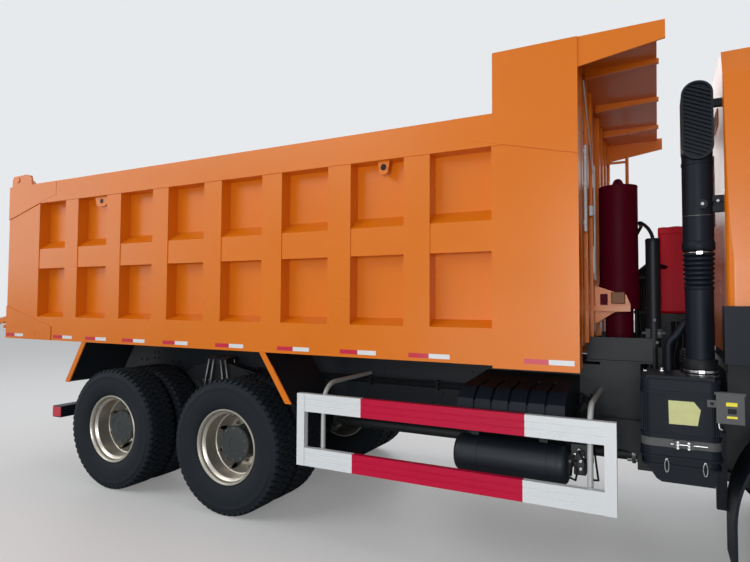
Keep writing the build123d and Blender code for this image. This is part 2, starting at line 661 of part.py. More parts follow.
def make_oil_tank():
    tank = box(OIL_TANK_X, (650.0, 1120.0), (1620.0, 2350.0))
    tank = fillet(tank.edges(), 25.0)
    save("oil_tank", tank)
    shelf = box(OIL_TANK_X, (FRAME_HALF_W - 60.0, 1100.0), (1560.0, 1620.0))
    post = box(
        (OIL_TANK_X[0], OIL_TANK_X[0] + 80.0), (FRAME_HALF_W - 60.0, FRAME_HALF_W), (FRAME_Z[1], 1560.0)
    )
    brace = cross_prism(
        [(FRAME_HALF_W, 1150.0), (FRAME_HALF_W, 1300.0), (950.0, 1560.0), (1080.0, 1560.0)],
        (OIL_TANK_X[0], OIL_TANK_X[0] + 40.0),
    )
    # Upright oil filter on its own stand pipe, on the right rail
    filter_y = 40.0 - FRAME_HALF_W
    pipe = rod_z(VALVE_POST_X, filter_y, (FRAME_Z[1], VALVE_POST_Z[0] + 10.0), VALVE_POST_R / 2)
    can = rod_z(VALVE_POST_X, filter_y, VALVE_POST_Z, VALVE_POST_R)
    save("oil_tank_stand", join([shelf, post, brace]), join([pipe, can]))


# Exhaust silencer on the left, behind the front wheel

EXHAUST_X = (FRONT_AXLE - 1430.0, FRONT_AXLE - 860.0)
EXHAUST_Y = (500.0, 1000.0)
EXHAUST_Z = (620.0, 1010.0)


def make_exhaust():
    case = box(EXHAUST_X, EXHAUST_Y, EXHAUST_Z)
    case = fillet(case.edges().filter_by(Axis.X), 60.0)
    tail = rod_y(EXHAUST_X[0] + 120.0, (EXHAUST_Y[1] - 5.0, EXHAUST_Y[1] + 60.0), EXHAUST_Z[0] + 110.0, 45.0)
    hanger = box((EXHAUST_X[0] + 200.0, EXHAUST_X[1] - 200.0), (SIDE_IN, EXHAUST_Y[0] + 5.0), (880.0, 960.0))
    save("exhaust", join([case, tail, hanger]))


# Side guards, rear guard, lamps

GUARD_X = (REAR_AXLES[0] + 715.0, FILTER_X[0] - 127.0)
GUARD_Y = (BED_HALF_W - 54.0, BED_HALF_W - 10.0)
GUARD_Z = (508.0, 1030.0)
GUARD_BEAM_H = 130.0
GUARD_POST_W = 64.0
GUARD_TUBES = (GUARD_X[0] + 185.0, GUARD_X[1] - 146.0)
GUARD_TUBE_R = 24.0
GUARD_TUBE_Y = GUARD_Y[0] - 22.0


def guard_tube(x, bottom, top):
    """Bent tube from the frame's side, out and down to the back of the left guard."""
    bend = 160.0
    points = [(x, SIDE_IN, top), (x, GUARD_TUBE_Y, top), (x, GUARD_TUBE_Y, bottom)]
    path = FilletPolyline(*points, radius=bend)
    section = Plane(origin=points[0], z_dir=(0, 1, 0)) * Circle(GUARD_TUBE_R)
    return sweep(section, path=path)


def make_side_guards():
    low = box(GUARD_X, GUARD_Y, (GUARD_Z[0], GUARD_Z[0] + GUARD_BEAM_H))
    high = box(GUARD_X, GUARD_Y, (GUARD_Z[1] - GUARD_BEAM_H, GUARD_Z[1]))
    front = box((GUARD_X[1] - GUARD_POST_W, GUARD_X[1]), (GUARD_Y[0], GUARD_Y[1] + 4.0), GUARD_Z)
    rear = box((GUARD_X[0], GUARD_X[0] + GUARD_POST_W), (GUARD_Y[0], GUARD_Y[1] + 4.0), GUARD_Z)
    tubes = [guard_tube(x, GUARD_Z[0] + 30.0, FRAME_Z[1] - 30.0) for x in GUARD_TUBES]
    guard = join([low, high, front, rear, *tubes])
    save("side_guards", *both_sides(guard))


REAR_BAR_X = (REAR_AXLES[1] - 985.0, REAR_AXLES[1] - 865.0)
REAR_BAR_Z = (540.0, 650.0)
REAR_BAR_HALF = BED_HALF_W - 120.0


def make_rear_guard():
    bar = box(REAR_BAR_X, (-REAR_BAR_HALF, REAR_BAR_HALF), REAR_BAR_Z)
    leg = box(
        (REAR_BAR_X[0] + 20.0, REAR_BAR_X[1] - 20.0),
        (FRAME_HALF_W - 70.0, FRAME_HALF_W - 10.0),
        (REAR_BAR_Z[1], FRAME_Z[0]),
    )
    lamp = box(
        (REAR_BAR_X[0] - 10.0, REAR_BAR_X[0] + 50.0),
        (400.0, 740.0),
        (REAR_BAR_Z[1] + 20.0, REAR_BAR_Z[1] + 150.0),
    )
    stay_z = (REAR_BAR_Z[1], REAR_BAR_Z[1] + 20.0)
    stay = box((REAR_BAR_X[0] + 10.0, REAR_BAR_X[0] + 40.0), (540.0, 600.0), stay_z)
    save("rear_guard", join([bar, *both_sides(leg), *both_sides(join([lamp, stay]))]))


# Bumper, steps and front mudguards on the frame

BUMPER_Z = (480.0, 925.0)
BUMPER_HALF = CAB_HALF_W + 90.0
BUMPER_T = 60.0
BUMPER_BACK = 330.0
LAMP_Y = (CAB_HALF_W - 330.0, CAB_HALF_W)
LAMP_Z = (640.0, 830.0)
STEP_X = (FRONT_AXLE + 669.0, NOSE - BUMPER_BACK - 10.0)
STEP_Y = (CAB_HALF_W - 270.0, CAB_HALF_W + 55.0)
STEP_Z = (430.0, 1300.0)
STEP_WALL = 24.0
STEP_TREADS = ((454.0, 740.0), (790.0, 1180.0))  # low and high Z of each foot space
ARCH_R = 655.0
ARCH_T = 14.0
ARCH_Y = (FRONT_TRACK / 2 - 191.0, FRONT_TRACK / 2 + 194.0)


def plan_prism(points, z):
    """Upright prism over an outline of (X, Y) points."""
    face = Face(Wire.make_polygon([(x, y, z[0]) for x, y in points]))
    return extrude(face, amount=z[1] - z[0], dir=(0, 0, 1))


def make_bumper():
    x_corner = NOSE - 150.0
    outline = [
        (NOSE - BUMPER_BACK, -BUMPER_HALF),
        (x_corner, -BUMPER_HALF),
        (NOSE - 40.0, -BUMPER_HALF + 170.0),
        (NOSE, -700.0),
        (NOSE, 700.0),
        (NOSE - 40.0, BUMPER_HALF - 170.0),
        (x_corner, BUMPER_HALF),
        (NOSE - BUMPER_BACK, BUMPER_HALF),
    ]
    inner = [
        (NOSE - BUMPER_BACK - 5.0, -BUMPER_HALF + BUMPER_T),
        (x_corner - 30.0, -BUMPER_HALF + BUMPER_T),
        (NOSE - 90.0, -BUMPER_HALF + 220.0),
        (NOSE - BUMPER_T, -690.0),
        (NOSE - BUMPER_T, 690.0),
        (NOSE - 90.0, BUMPER_HALF - 220.0),
        (x_corner - 30.0, BUMPER_HALF - BUMPER_T),
        (NOSE - BUMPER_BACK - 5.0, BUMPER_HALF - BUMPER_T),
    ]
    outer = plan_prism(outline, BUMPER_Z)
    hollow = plan_prism(inner, (BUMPER_Z[0] - 1.0, BUMPER_Z[1] + 1.0))
    shell = outer - hollow
    for side in (1, -1):
        y = (side * LAMP_Y[0], side * LAMP_Y[1])
        shell -= box((NOSE - BUMPER_BACK + 100.0, NOSE + 10.0), y, LAMP_Z)
    stay_z = (FRAME_Z[0] - 100.0, FRAME_Z[0] - 60.0)
    stay = box((FRAME_FRONT, NOSE - BUMPER_T + 5.0), (FRAME_HALF_W - 90.0, FRAME_HALF_W), stay_z)
    save("front_bumper", join([shell, *both_sides(stay)]))
    lamp = side_prism(
        [
            (NOSE - 200.0, LAMP_Z[0]),
            (NOSE - 200.0, LAMP_Z[1]),
            (NOSE - 75.0, LAMP_Z[1]),
            (NOSE - 60.0, LAMP_Z[0]),
        ],
        LAMP_Y,
    )
    save("headlamps", *both_sides(lamp))


def cab_step():
    """Step box ahead of the left front wheel, hung from the frame."""
    outer = box(STEP_X, STEP_Y, STEP_Z)
    x = (STEP_X[0] + STEP_WALL, STEP_X[1] - STEP_WALL)
    y = (STEP_Y[0] + STEP_WALL, STEP_Y[1] + 1.0)
    for z in STEP_TREADS:
        outer -= box(x, y, (z[0], z[1]))
    stay = box((STEP_X[0] + 60.0, STEP_X[0] + 140.0), (FRAME_HALF_W, STEP_Y[0] + 5.0), (900.0, 1000.0))
    return join([outer, stay])


def make_mudguards():
    """Half-round guard over each front tyre, and the step box in front of it."""
    ring_r = (ARCH_R, ARCH_R + ARCH_T)
    ring = rod_y(FRONT_AXLE, ARCH_Y, HUB_Z, ring_r[1])
    ring -= rod_y(FRONT_AXLE, (ARCH_Y[0] - 1.0, ARCH_Y[1] + 1.0), HUB_Z, ring_r[0])
    below = (HUB_Z - ring_r[1] - 5.0, HUB_Z + 20.0)
    ring -= box(
        (FRONT_AXLE - ring_r[1] - 5.0, FRONT_AXLE + ring_r[1] + 5.0),
        (ARCH_Y[0] - 2.0, ARCH_Y[1] + 2.0),
        below,
    )
    flap_x = FRONT_AXLE - ring_r[1]
    flap = box((flap_x, flap_x + ARCH_T), ARCH_Y, (HUB_Z - 250.0, HUB_Z + 21.0))
    stay_x = (flap_x - 50.0, flap_x + 4.0)
    stay = box(stay_x, (FRAME_HALF_W, ARCH_Y[0] + 40.0), (HUB_Z + 360.0, HUB_Z + 420.0))
    post = box(stay_x, (ARCH_Y[0], ARCH_Y[0] + 40.0), (HUB_Z - 20.0, HUB_Z + 420.0))
    save("front_mudguards", *both_sides(join([ring, flap, stay, post])))
    save("cab_steps", *both_sides(cab_step()))


# Wheels

TYRE_PROFILE = (  # (radius, distance from the tyre's middle) on one half
    (RIM_R + SEAT_GAP, 0.36),
    (RIM_R + 12.5, 0.365),
    (RIM_R + 25.0, 0.44),
    (RIM_R + 110.0, 0.50),
    (TYRE_R - 60.0, 0.49),
    (TYRE_R - 20.0, 0.47),
    (TYRE_R, 0.42),
)


def tyre(x, y_mid):
    """Tyre solid about the axle line at X, with its middle at y_mid."""
    half = [(r, y_mid - share * TYRE_W) for r, share in TYRE_PROFILE]
    other = [(r, y_mid + share * TYRE_W) for r, share in reversed(TYRE_PROFILE)]
    return turned_y(half + other, x, HUB_Z)


RIM_T = 14.0
DROP_R = RIM_R - RIM_T - 22.0
BOWL_FLAT_R = 182.0
FRONT_DISC_OUT = 125.0  # front wheel's disc outside the tyre's middle
BRAKE_R = 205.0


def rim(x, y_mid, disc_y):
    """Rim barrel with flanges, and the bowl that carries it, flat at disc_y."""
    w = TYRE_W * 0.36
    barrel = [
        (RIM_R, y_mid - w),
        (RIM_R, y_mid + w),
        (RIM_R, y_mid + w + 2.0),
        (RIM_R + 12.0, y_mid + w + 2.0),
        (RIM_R + 12.0, y_mid + w + 14.0),
        (RIM_R - RIM_T, y_mid + w + 14.0),
        (DROP_R, y_mid + w - 40.0),
        (DROP_R, y_mid - w + 40.0),
        (RIM_R - RIM_T, y_mid - w - 14.0),
        (RIM_R + 12.0, y_mid - w - 14.0),
        (RIM_R + 12.0, y_mid - w - 2.0),
        (RIM_R, y_mid - w - 2.0),
    ]
    way = 1.0 if disc_y > y_mid else -1.0
    root_y = y_mid + way * (w - 50.0)
    bowl = [
        (SPINDLE_R + PIN_CLEAR, disc_y - way * 8.0),
        (SPINDLE_R + PIN_CLEAR, disc_y + way * 8.0),
        (BOWL_FLAT_R + 8.0, disc_y + way * 8.0),
        (DROP_R + 5.0, root_y + way * 14.0),
        (DROP_R + 5.0, root_y - way * 14.0),
        (BOWL_FLAT_R, disc_y - way * 8.0),
    ]
    return join([turned_y(barrel, x, HUB_Z), turned_y(bowl, x, HUB_Z)])


def hub(x, y_in, y_out, r, drum):
    """Hub over the spindle with a closed outer end, and the brake drum's (inner, outer) Y."""
    body = rod_y(x, (y_in, y_out), HUB_Z, r)
    drum_part = rod_y(x, drum, HUB_Z, BRAKE_R)
    return join([body, drum_part])


def make_wheels():
    # Front: the disc is near the outside and the hub stands out of it
    y = FRONT_HUB_Y
    disc_y = y + FRONT_DISC_OUT
    spin_bore = rod_y(FRONT_AXLE, (y - 200.0, y + 60.0 + GAP), HUB_Z, SPINDLE_R + PIN_CLEAR)
    front_hub = hub(FRONT_AXLE, y - 30.0, disc_y + 65.0, 110.0, (y - 30.0, disc_y - 20.0))
    front = join([rim(FRONT_AXLE, y, disc_y), front_hub]) - spin_bore
    front_tyre = tyre(FRONT_AXLE, y)
    # Rear: twin wheels with both discs at the middle of the pair
    inner_y = REAR_TRACK / 2 - DUAL_SPACING / 2
    outer_y = REAR_TRACK / 2 + DUAL_SPACING / 2
    mid = REAR_TRACK / 2
    spindle_end = mid + 90.0 + GAP
    for number, x in enumerate(REAR_AXLES, start=1):
        bore = rod_y(x, (600.0, spindle_end), HUB_Z, SPINDLE_R + PIN_CLEAR)
        rims = join([rim(x, inner_y, mid - 10.0), rim(x, outer_y, mid + 10.0)])
        core = hub(x, 660.0, mid + 190.0, 130.0, (660.0, mid - 30.0))
        pair = join([rims, core]) - bore
        tyres = [tyre(x, inner_y), tyre(x, outer_y)]
        for side in ("left", "right"):
            keep = (lambda s: s) if side == "left" else (lambda s: mirror(s, about=MIRROR))
            save(f"rear_{number}_{side}_rims", keep(pair))
            save(f"rear_{number}_{side}_tyres", *[keep(t) for t in tyres])
    for side in ("left", "right"):
        keep = (lambda s: s) if side == "left" else (lambda s: mirror(s, about=MIRROR))
        save(f"front_{side}_rim", keep(front))
        save(f"front_{side}_tyre", keep(front_tyre))


# Dump bed

BAY = (BED_LENGTH - 2 * END_PLATE_L - POST_COUNT * POST_W) / (POST_COUNT + 1)


def post_starts():
    """Rear edge of each side post."""
    first = BED_REAR + END_PLATE_L + BAY
    return [first + i * (POST_W + BAY) for i in range(POST_COUNT)]


def sloped_rail(z, slope, x, proud):
    """Rail on the left side sheet whose top runs down and out, so that no load rests on it."""
    y_out = BED_HALF_W + proud
    outline = [(PANEL_Y, z[0]), (y_out, z[0]), (y_out, z[1]), (PANEL_Y, z[1] + slope)]
    return cross_prism(outline, x)


LIFT_LUGS = ((BED_REAR + 1422.0, 100.0), (BED_FRONT - 1281.0, 45.0))  # middle X and half length
LIFT_LUG_Y = (BED_HALF_W - 45.0, BED_HALF_W - 25.0)


def bed_side():
    """Left side wall: sheet, posts, rails, end plates and raised corner gussets."""
    x = (BED_REAR, BED_FRONT)
    sheet = box(x, (INNER_Y, PANEL_Y), (LOW_RAIL_Z[0], TOP_RAIL_Z[1]))
    low = sloped_rail(LOW_RAIL_Z, LOW_RAIL_SLOPE, x, 0.0)
    mid = sloped_rail(MID_RAIL_Z, MID_RAIL_SLOPE, (BED_REAR + END_PLATE_L, BED_FRONT - END_PLATE_L), -6.0)
    top = box(x, (PANEL_Y, BED_HALF_W + RAIL_PROUD), TOP_RAIL_Z)
    column_z = (LOW_RAIL_Z[1] - 20.0, TOP_RAIL_Z[0] + 5.0)
    posts = [box((s, s + POST_W), (PANEL_Y, BED_HALF_W), column_z) for s in post_starts()]
    rear_plate = box((BED_REAR, BED_REAR + END_PLATE_L), (PANEL_Y, BED_HALF_W), column_z)
    front_plate = box((BED_FRONT - END_PLATE_L, BED_FRONT), (PANEL_Y, BED_HALF_W), column_z)
    wing_x = (BED_FRONT - END_PLATE_L + 6.0, BED_FRONT)
    wing = box(wing_x, (BED_HALF_W - WING_T, BED_HALF_W), (TOP_RAIL_Z[1], WING_TOP_Z))
    y = (BED_HALF_W - 5.0, BED_HALF_W + GUSSET_T)
    zl, zt = LOW_RAIL_Z[0], TOP_RAIL_Z[1]
    f, r = BED_FRONT, BED_REAR
    # Corner gussets, each an outline of (X, Z) points
    gussets = (
        (
            (f - 775.0, zl),
            (f - 775.0, 1466.0),
            (f - 510.0, 1542.0),
            (f, 1662.0),
            (f, zl - 16.0),
            (f - 509.0, zl - 16.0),
            (f - 509.0, zl),
        ),
        ((f - 775.0, zt), (f - 775.0, 2766.0), (f, 2580.0), (f, zt)),
        ((r, zt), (r + 778.0, zt), (r + 778.0, 2759.0), (r, 2547.0)),
        ((r, 1645.0), (r + 750.0, 1451.0), (r + 750.0, zl), (r, zl)),
    )
    plates = [side_prism(g, y) for g in gussets]
    lug_z = TOP_RAIL_Z[0]
    for mid_x, half in LIFT_LUGS:
        outline = [(mid_x - half, lug_z + 2.0), (mid_x + half, lug_z + 2.0)]
        outline += [(mid_x + 0.7 * half, lug_z - 80.0), (mid_x + 0.3 * half, lug_z - 95.0)]
        outline += [(mid_x - 0.3 * half, lug_z - 95.0), (mid_x - 0.7 * half, lug_z - 80.0)]
        plates.append(side_prism(outline, LIFT_LUG_Y))
    return join([sheet, low, mid, top, rear_plate, front_plate, wing, *posts, *plates])


EAR_X = BED_REAR + 110.0
EAR_Z = 2985.0
EAR_Y = (BED_HALF_W - 100.0, BED_HALF_W - 60.0)
EAR_PIN_R = 20.0


def tail_ear():
    """Plate on the top rail that holds the tailgate's hinge pin, on the left."""
    plate = side_prism(
        [
            (EAR_X - 80.0, TOP_RAIL_Z[1] - 1.0),
            (EAR_X - 60.0, EAR_Z + 35.0),
            (EAR_X + 40.0, EAR_Z + 45.0),
            (EAR_X + 220.0, TOP_RAIL_Z[1] - 1.0),
        ],
        EAR_Y,
    )
    pin = rod_y(EAR_X, (EAR_Y[0] - 50.0, EAR_Y[1]), EAR_Z, EAR_PIN_R)
    return join([plate, pin])


LATCH_Z = 1430.0
LATCH_PIN_R = 16.0


def latch_hook():
    """Hook over the tailgate's lower pin, behind the left side wall and drawn released."""
    outline = [
        (BED_REAR + 60.0, 1420.0),
        (BED_REAR + 60.0, 1520.0),
        (BED_REAR - 60.0, 1535.0),
        (BED_REAR - TAIL_REACH, 1505.0),
        (BED_REAR - TAIL_REACH, LATCH_Z + 20.0),
        (BED_REAR - TAIL_REACH + 30.0, LATCH_Z + 32.0),
        (BED_REAR - 90.0, LATCH_Z + 32.0),
        (BED_REAR - 80.0, LATCH_Z + 50.0),
        (BED_REAR - 40.0, LATCH_Z + 50.0),
        (BED_REAR - 30.0, 1420.0),
    ]
    return side_prism(outline, (BED_HALF_W - 40.0, BED_HALF_W - 15.0))


def make_bed_sides():
    side = join([bed_side(), tail_ear(), latch_hook()])
    save("bed_sides", *both_sides(side))


CROSS_BEAM_COUNT = 8
LUG_Y = BEAM_Y


def make_bed_floor():
    floor_z = (FLOOR_TOP_Z - FLOOR_T, FLOOR_TOP_Z)
    floor = box((BED_REAR, HEADBOARD), (-INNER_Y, INNER_Y), floor_z)
    beam = box((BED_HINGE - 60.0, HEADBOARD - 5.0), BEAM_Y, BEAM_Z)
    lug = side_prism(
        [
            (BED_HINGE - 60.0, HINGE_Z),
            (BED_HINGE - 60.0, BEAM_Z[0] + 10.0),
            (BED_HINGE + 130.0, BEAM_Z[0] + 10.0),
            (BED_HINGE + 60.0, HINGE_Z),
        ],
        LUG_Y,
    )
    lug_round = rod_y(BED_HINGE, LUG_Y, HINGE_Z, 60.0)
    bore = rod_y(BED_HINGE, (LUG_Y[0] - 5.0, LUG_Y[1] + 5.0), HINGE_Z, HINGE_PIN_R + PIN_CLEAR)
    long_beam = join([beam, lug, lug_round]) - bore
    cross_z = (1335.0, floor_z[0])
    step = (BED_LENGTH - HEADBOARD_SETBACK - 450.0) / (CROSS_BEAM_COUNT - 1)
    beams = []
    for i in range(CROSS_BEAM_COUNT):
        x = BED_REAR + i * step
        beams.append(box((x, x + 90.0), (BEAM_Y[1], INNER_Y), cross_z))
        beams.append(box((x, x + 90.0), (-INNER_Y, -BEAM_Y[1]), cross_z))
    save("bed_floor", floor)
    save("bed_beams", *both_sides(long_beam))
    save("bed_cross_beams", *beams)


HEAD_RIB_Y = (300.0, 620.0, INNER_Y - 188.0)
HEAD_RIB_W = 80.0
HEAD_BAND_Z = (1560.0, 2010.0, 2440.0, 2860.0)
HEAD_BAND_H = 90.0
WING_T = 60.0
LADDER_Y = INNER_Y - 88.0
LADDER_X = (BED_FRONT - 38.0, BED_FRONT + 162.0)
LADDER_Z = (1520.0, 3100.0)
LADDER_RUNGS = 6
LADDER_BAR_R = 15.0
LADDER_RUNG_R = 12.0


def ladder():
    """Ladder on the left of the headboard, its rungs running forward from the sheet."""
    bars = [rod_z(x, LADDER_Y, LADDER_Z, LADDER_BAR_R) for x in LADDER_X]
    low, high = LADDER_Z[0] + 60.0, LADDER_Z[1] - 60.0
    rise = (high - low) / (LADDER_RUNGS - 1)
    span = (HEADBOARD + SHEET - 4.0, LADDER_X[1])
    return bars + [rod_x(span, LADDER_Y, low + i * rise, LADDER_RUNG_R) for i in range(LADDER_RUNGS)]


ARM_SHELF_Z = (TRUNNION_Z - 100.0, TRUNNION_Z - 60.0)
ARM_WEB_T = 30.0
ARM_TIP_X = HOIST_X + 90.0


def hoist_arm():
    """Left arm that carries the hoist's trunnion: an upright web and a level shelf."""
    root = HEADBOARD + SHEET
    web = side_prism(
        [
            (root, TRUNNION_Z - 245.0),
            (root, TRUNNION_Z + 117.0),
            (HOIST_X - 30.0, TRUNNION_Z + 45.0),
            (ARM_TIP_X - 30.0, TRUNNION_Z + 20.0),
            (ARM_TIP_X, ARM_SHELF_Z[1]),
            (ARM_TIP_X, ARM_SHELF_Z[0]),
            (HOIST_X - 18.0, ARM_SHELF_Z[0] - 6.0),
        ],
        (ARM_Y[0], ARM_Y[0] + ARM_WEB_T),
    )
    shelf = box((root, ARM_TIP_X), (ARM_Y[0], HEAD_RIB_Y[0]), ARM_SHELF_Z)
    foot_z = (TRUNNION_Z - 245.0, TRUNNION_Z + 117.0)
    foot = box((root, BED_FRONT - 12.0), (ARM_Y[0], HEAD_RIB_Y[0]), foot_z)
    return join([web, shelf, foot])


def make_headboard():
    low = (FLOOR_TOP_Z - FLOOR_T, TOP_RAIL_Z[1])
    sheet = box((HEADBOARD, HEADBOARD + SHEET), (-INNER_Y, INNER_Y), low)
    wide = BED_HALF_W - WING_T
    upper = box((HEADBOARD, HEADBOARD + SHEET), (-wide, wide), (TOP_RAIL_Z[1], WING_TOP_Z))
    rib_x = (HEADBOARD + SHEET, BED_FRONT - 12.0)
    ribs = []
    for y in HEAD_RIB_Y:
        rib = box(rib_x, (y - HEAD_RIB_W / 2, y + HEAD_RIB_W / 2), (FLOOR_TOP_Z, WING_TOP_Z - 20.0))
        ribs += both_sides(rib)
    for z in HEAD_BAND_Z:
        band = box((rib_x[0], rib_x[1] - 18.0), (HEAD_RIB_Y[0], INNER_Y), (z, z + HEAD_BAND_H))
        ribs += both_sides(band)
    save("headboard", join([sheet, upper, *ribs, *both_sides(hoist_arm()), *ladder()]))


CANOPY_RIB_Y = 735.0
CANOPY_RIB_T = 30.0
CANOPY_RIB_DEPTH = (72.0, 44.0)


def make_canopy():
    z = WING_TOP_Z
    tip = BED_FRONT + CANOPY_REACH
    sheet_end = tip - 42.0
    half = BED_HALF_W - 10.0
    sheet = box((BED_FRONT, sheet_end), (-half, half), (z - CANOPY_SHEET_T, z))
    wide = BED_HALF_W - WING_T
    rear = box((HEADBOARD + SHEET, BED_FRONT), (-wide, wide), (z - CANOPY_SHEET_T, z))
    outline = [(BED_FRONT, z - CANOPY_DEPTH[0]), (BED_FRONT, z), (tip, z), (tip, z - CANOPY_DEPTH[1])]
    plate = side_prism(outline, (half - 12.0, half))
    rib = side_prism(
        [
            (BED_FRONT - 12.0, z - CANOPY_RIB_DEPTH[0]),
            (BED_FRONT - 12.0, z - CANOPY_SHEET_T),
            (tip - 30.0, z - CANOPY_SHEET_T),
            (tip - 30.0, z - CANOPY_RIB_DEPTH[1]),
        ],
        (-CANOPY_RIB_T / 2, CANOPY_RIB_T / 2),
    )
    ribs = [Pos(0, y, 0) * rib for y in (-CANOPY_RIB_Y, 0.0, CANOPY_RIB_Y)]
    save("canopy", join([sheet, rear, *both_sides(plate), *ribs]))


FLAP_T = 12.0
FLAP_Y = (FRAME_HALF_W + 210.0, BED_HALF_W - 10.0)
FLAP_EDGE_W = 56.0
FLAP_EDGE_T = 10.0


def make_splash_plates():
    """Slanted plates ahead of and behind the rear wheels, each with a flat strip on its outer edge."""
    plates = []
    # Top X, bottom X and bottom Z of each plate
    table = (
        (REAR_AXLES[0] + 375.0, REAR_AXLES[0] + 625.0, 940.0),
        (REAR_AXLES[1] - 390.0, REAR_AXLES[1] - 618.0, 925.0),
    )
    strip_y = (FLAP_Y[1] - FLAP_EDGE_T, FLAP_Y[1])
    for top_x, low_x, low_z in table:
        forms = []
        for back, wide, y in ((0.0, FLAP_T, FLAP_Y), (FLAP_EDGE_W / 2 - FLAP_T / 2, FLAP_EDGE_W, strip_y)):
            outline = [
                (top_x - back, LOW_RAIL_Z[0]),
                (top_x - back + wide, LOW_RAIL_Z[0]),
                (low_x - back + wide, low_z),
                (low_x - back, low_z),
            ]
            forms.append(side_prism(outline, y))
        plates.append(join(forms))
    save("splash_plates", *[half for plate in plates for half in both_sides(plate)])


# Tailgate

GATE_T = 60.0
GATE_HALF_W = BED_HALF_W - 150.0
GATE_Z = (1345.0, 2860.0)
GATE_RIBS = 5


def make_tailgate():
    x_in = BED_REAR - GAP
    x_out = x_in - GATE_T
    sheet = box((x_in - SHEET, x_in), (-GATE_HALF_W, GATE_HALF_W), GATE_Z)
    frame = []
    for z in (GATE_Z[0], 2080.0, GATE_Z[1] - 120.0):
        frame.append(box((x_out, x_in - SHEET), (-GATE_HALF_W, GATE_HALF_W), (z, z + 120.0)))
    step = (2 * GATE_HALF_W - 110.0) / (GATE_RIBS - 1)
    for i in range(GATE_RIBS):
        y = -GATE_HALF_W + i * step
        frame.append(box((x_out, x_in - SHEET), (y, y + 110.0), GATE_Z))
    arm_y = (EAR_Y[0] - 46.0, EAR_Y[0] - GAP)
    arm = side_prism(
        [
            (x_out, 2600.0),
            (x_out, EAR_Z - 10.0),
            (EAR_X - 60.0, EAR_Z + 50.0),
            (EAR_X + 20.0, EAR_Z + 50.0),
            (EAR_X + 45.0, EAR_Z - 40.0),
            (EAR_X - 30.0, EAR_Z - 50.0),
            (x_in, EAR_Z - 70.0),
            (x_in, 2600.0),
        ],
        arm_y,
    )
    arm -= rod_y(EAR_X, (arm_y[0] - 5.0, arm_y[1] + 5.0), EAR_Z, EAR_PIN_R + PIN_CLEAR)
    foot = box((x_out, x_in), (GATE_HALF_W - 60.0, arm_y[1]), (2600.0, 2800.0))
    latch = rod_y(BED_REAR - 62.0, (GATE_HALF_W - 40.0, BED_HALF_W - 10.0), LATCH_Z, LATCH_PIN_R)
    latch_arm = box((x_out - 18.0, x_in), (GATE_HALF_W - 60.0, GATE_HALF_W), (LATCH_Z - 35.0, LATCH_Z + 35.0))
    ends = both_sides(join([arm, foot, latch, latch_arm]))
    save("tailgate", join([sheet, *frame, *ends]))


# Cab

CAB_OUTLINE = (
    (CAB_REAR, CAB_FLOOR_Z),
    (CAB_REAR, CAB_ROOF_Z - 25.0),
    (CAB_FRONT - 330.0, CAB_ROOF_Z),
    (CAB_FRONT - 230.0, CAB_ROOF_Z - 150.0),
    (CAB_FRONT - 20.0, BELT_Z),
    (CAB_FRONT, 1500.0),
    (CAB_FRONT - 10.0, CAB_CHIN_Z),
    (CAB_FRONT - 110.0, CAB_CHIN_Z),
    (CAB_FRONT - 150.0, CAB_FLOOR_Z),
)
CAB_HOLLOW = (
    (CAB_REAR + CAB_WALL, CAB_FLOOR_Z + CAB_WALL),
    (CAB_REAR + CAB_WALL, CAB_ROOF_Z - 25.0 - CAB_WALL),
    (CAB_FRONT - 350.0, CAB_ROOF_Z - CAB_WALL),
    (CAB_FRONT - 285.0, CAB_ROOF_Z - 165.0),
    (CAB_FRONT - 75.0, BELT_Z),
    (CAB_FRONT - 55.0, 1500.0),
    (CAB_FRONT - 55.0, CAB_FLOOR_Z + CAB_WALL),
)
DOOR_FRONT = CAB_FRONT - 190.0
DOOR_REAR = DOOR_FRONT - DOOR_LENGTH
TUNNEL_HALF = 430.0
TUNNEL_Z = 1620.0
SCREEN_HALF = CAB_HALF_W - 120.0
SCREEN_T = 10.0


def door_outline(shrink):
    """Outline of the door, drawn in by the given distance."""
    return (
        (DOOR_REAR + shrink, DOOR_Z[0] + shrink),
        (DOOR_REAR + shrink, DOOR_Z[1] - shrink),
        (DOOR_FRONT - 190.0 - shrink, DOOR_Z[1] - shrink),
        (DOOR_FRONT - shrink, 2020.0),
        (DOOR_FRONT - shrink, DOOR_Z[0] + shrink),
    )


def window_outline(grow):
    """Outline of the door's window."""
    return (
        (DOOR_REAR + 110.0 - grow, BELT_Z + 130.0 - grow),
        (DOOR_REAR + 110.0 - grow, DOOR_Z[1] - 110.0 + grow),
        (DOOR_FRONT - 270.0 + grow, DOOR_Z[1] - 110.0 + grow),
        (DOOR_FRONT - 110.0 + grow, 2120.0),
        (DOOR_FRONT - 110.0 + grow, BELT_Z + 130.0 - grow),
    )


HINGE_OUT = 22.0  # hinge line outside the cab's skin
DOOR_AXIS = (DOOR_FRONT - 20.0, CAB_HALF_W + HINGE_OUT)  # X and Y of the left door's hinge line
DOOR_HINGE_Z = (1560.0, 1860.0)
DOOR_PIN_R = 7.0
KNUCKLE_R = 15.0
KNUCKLE_H = 36.0


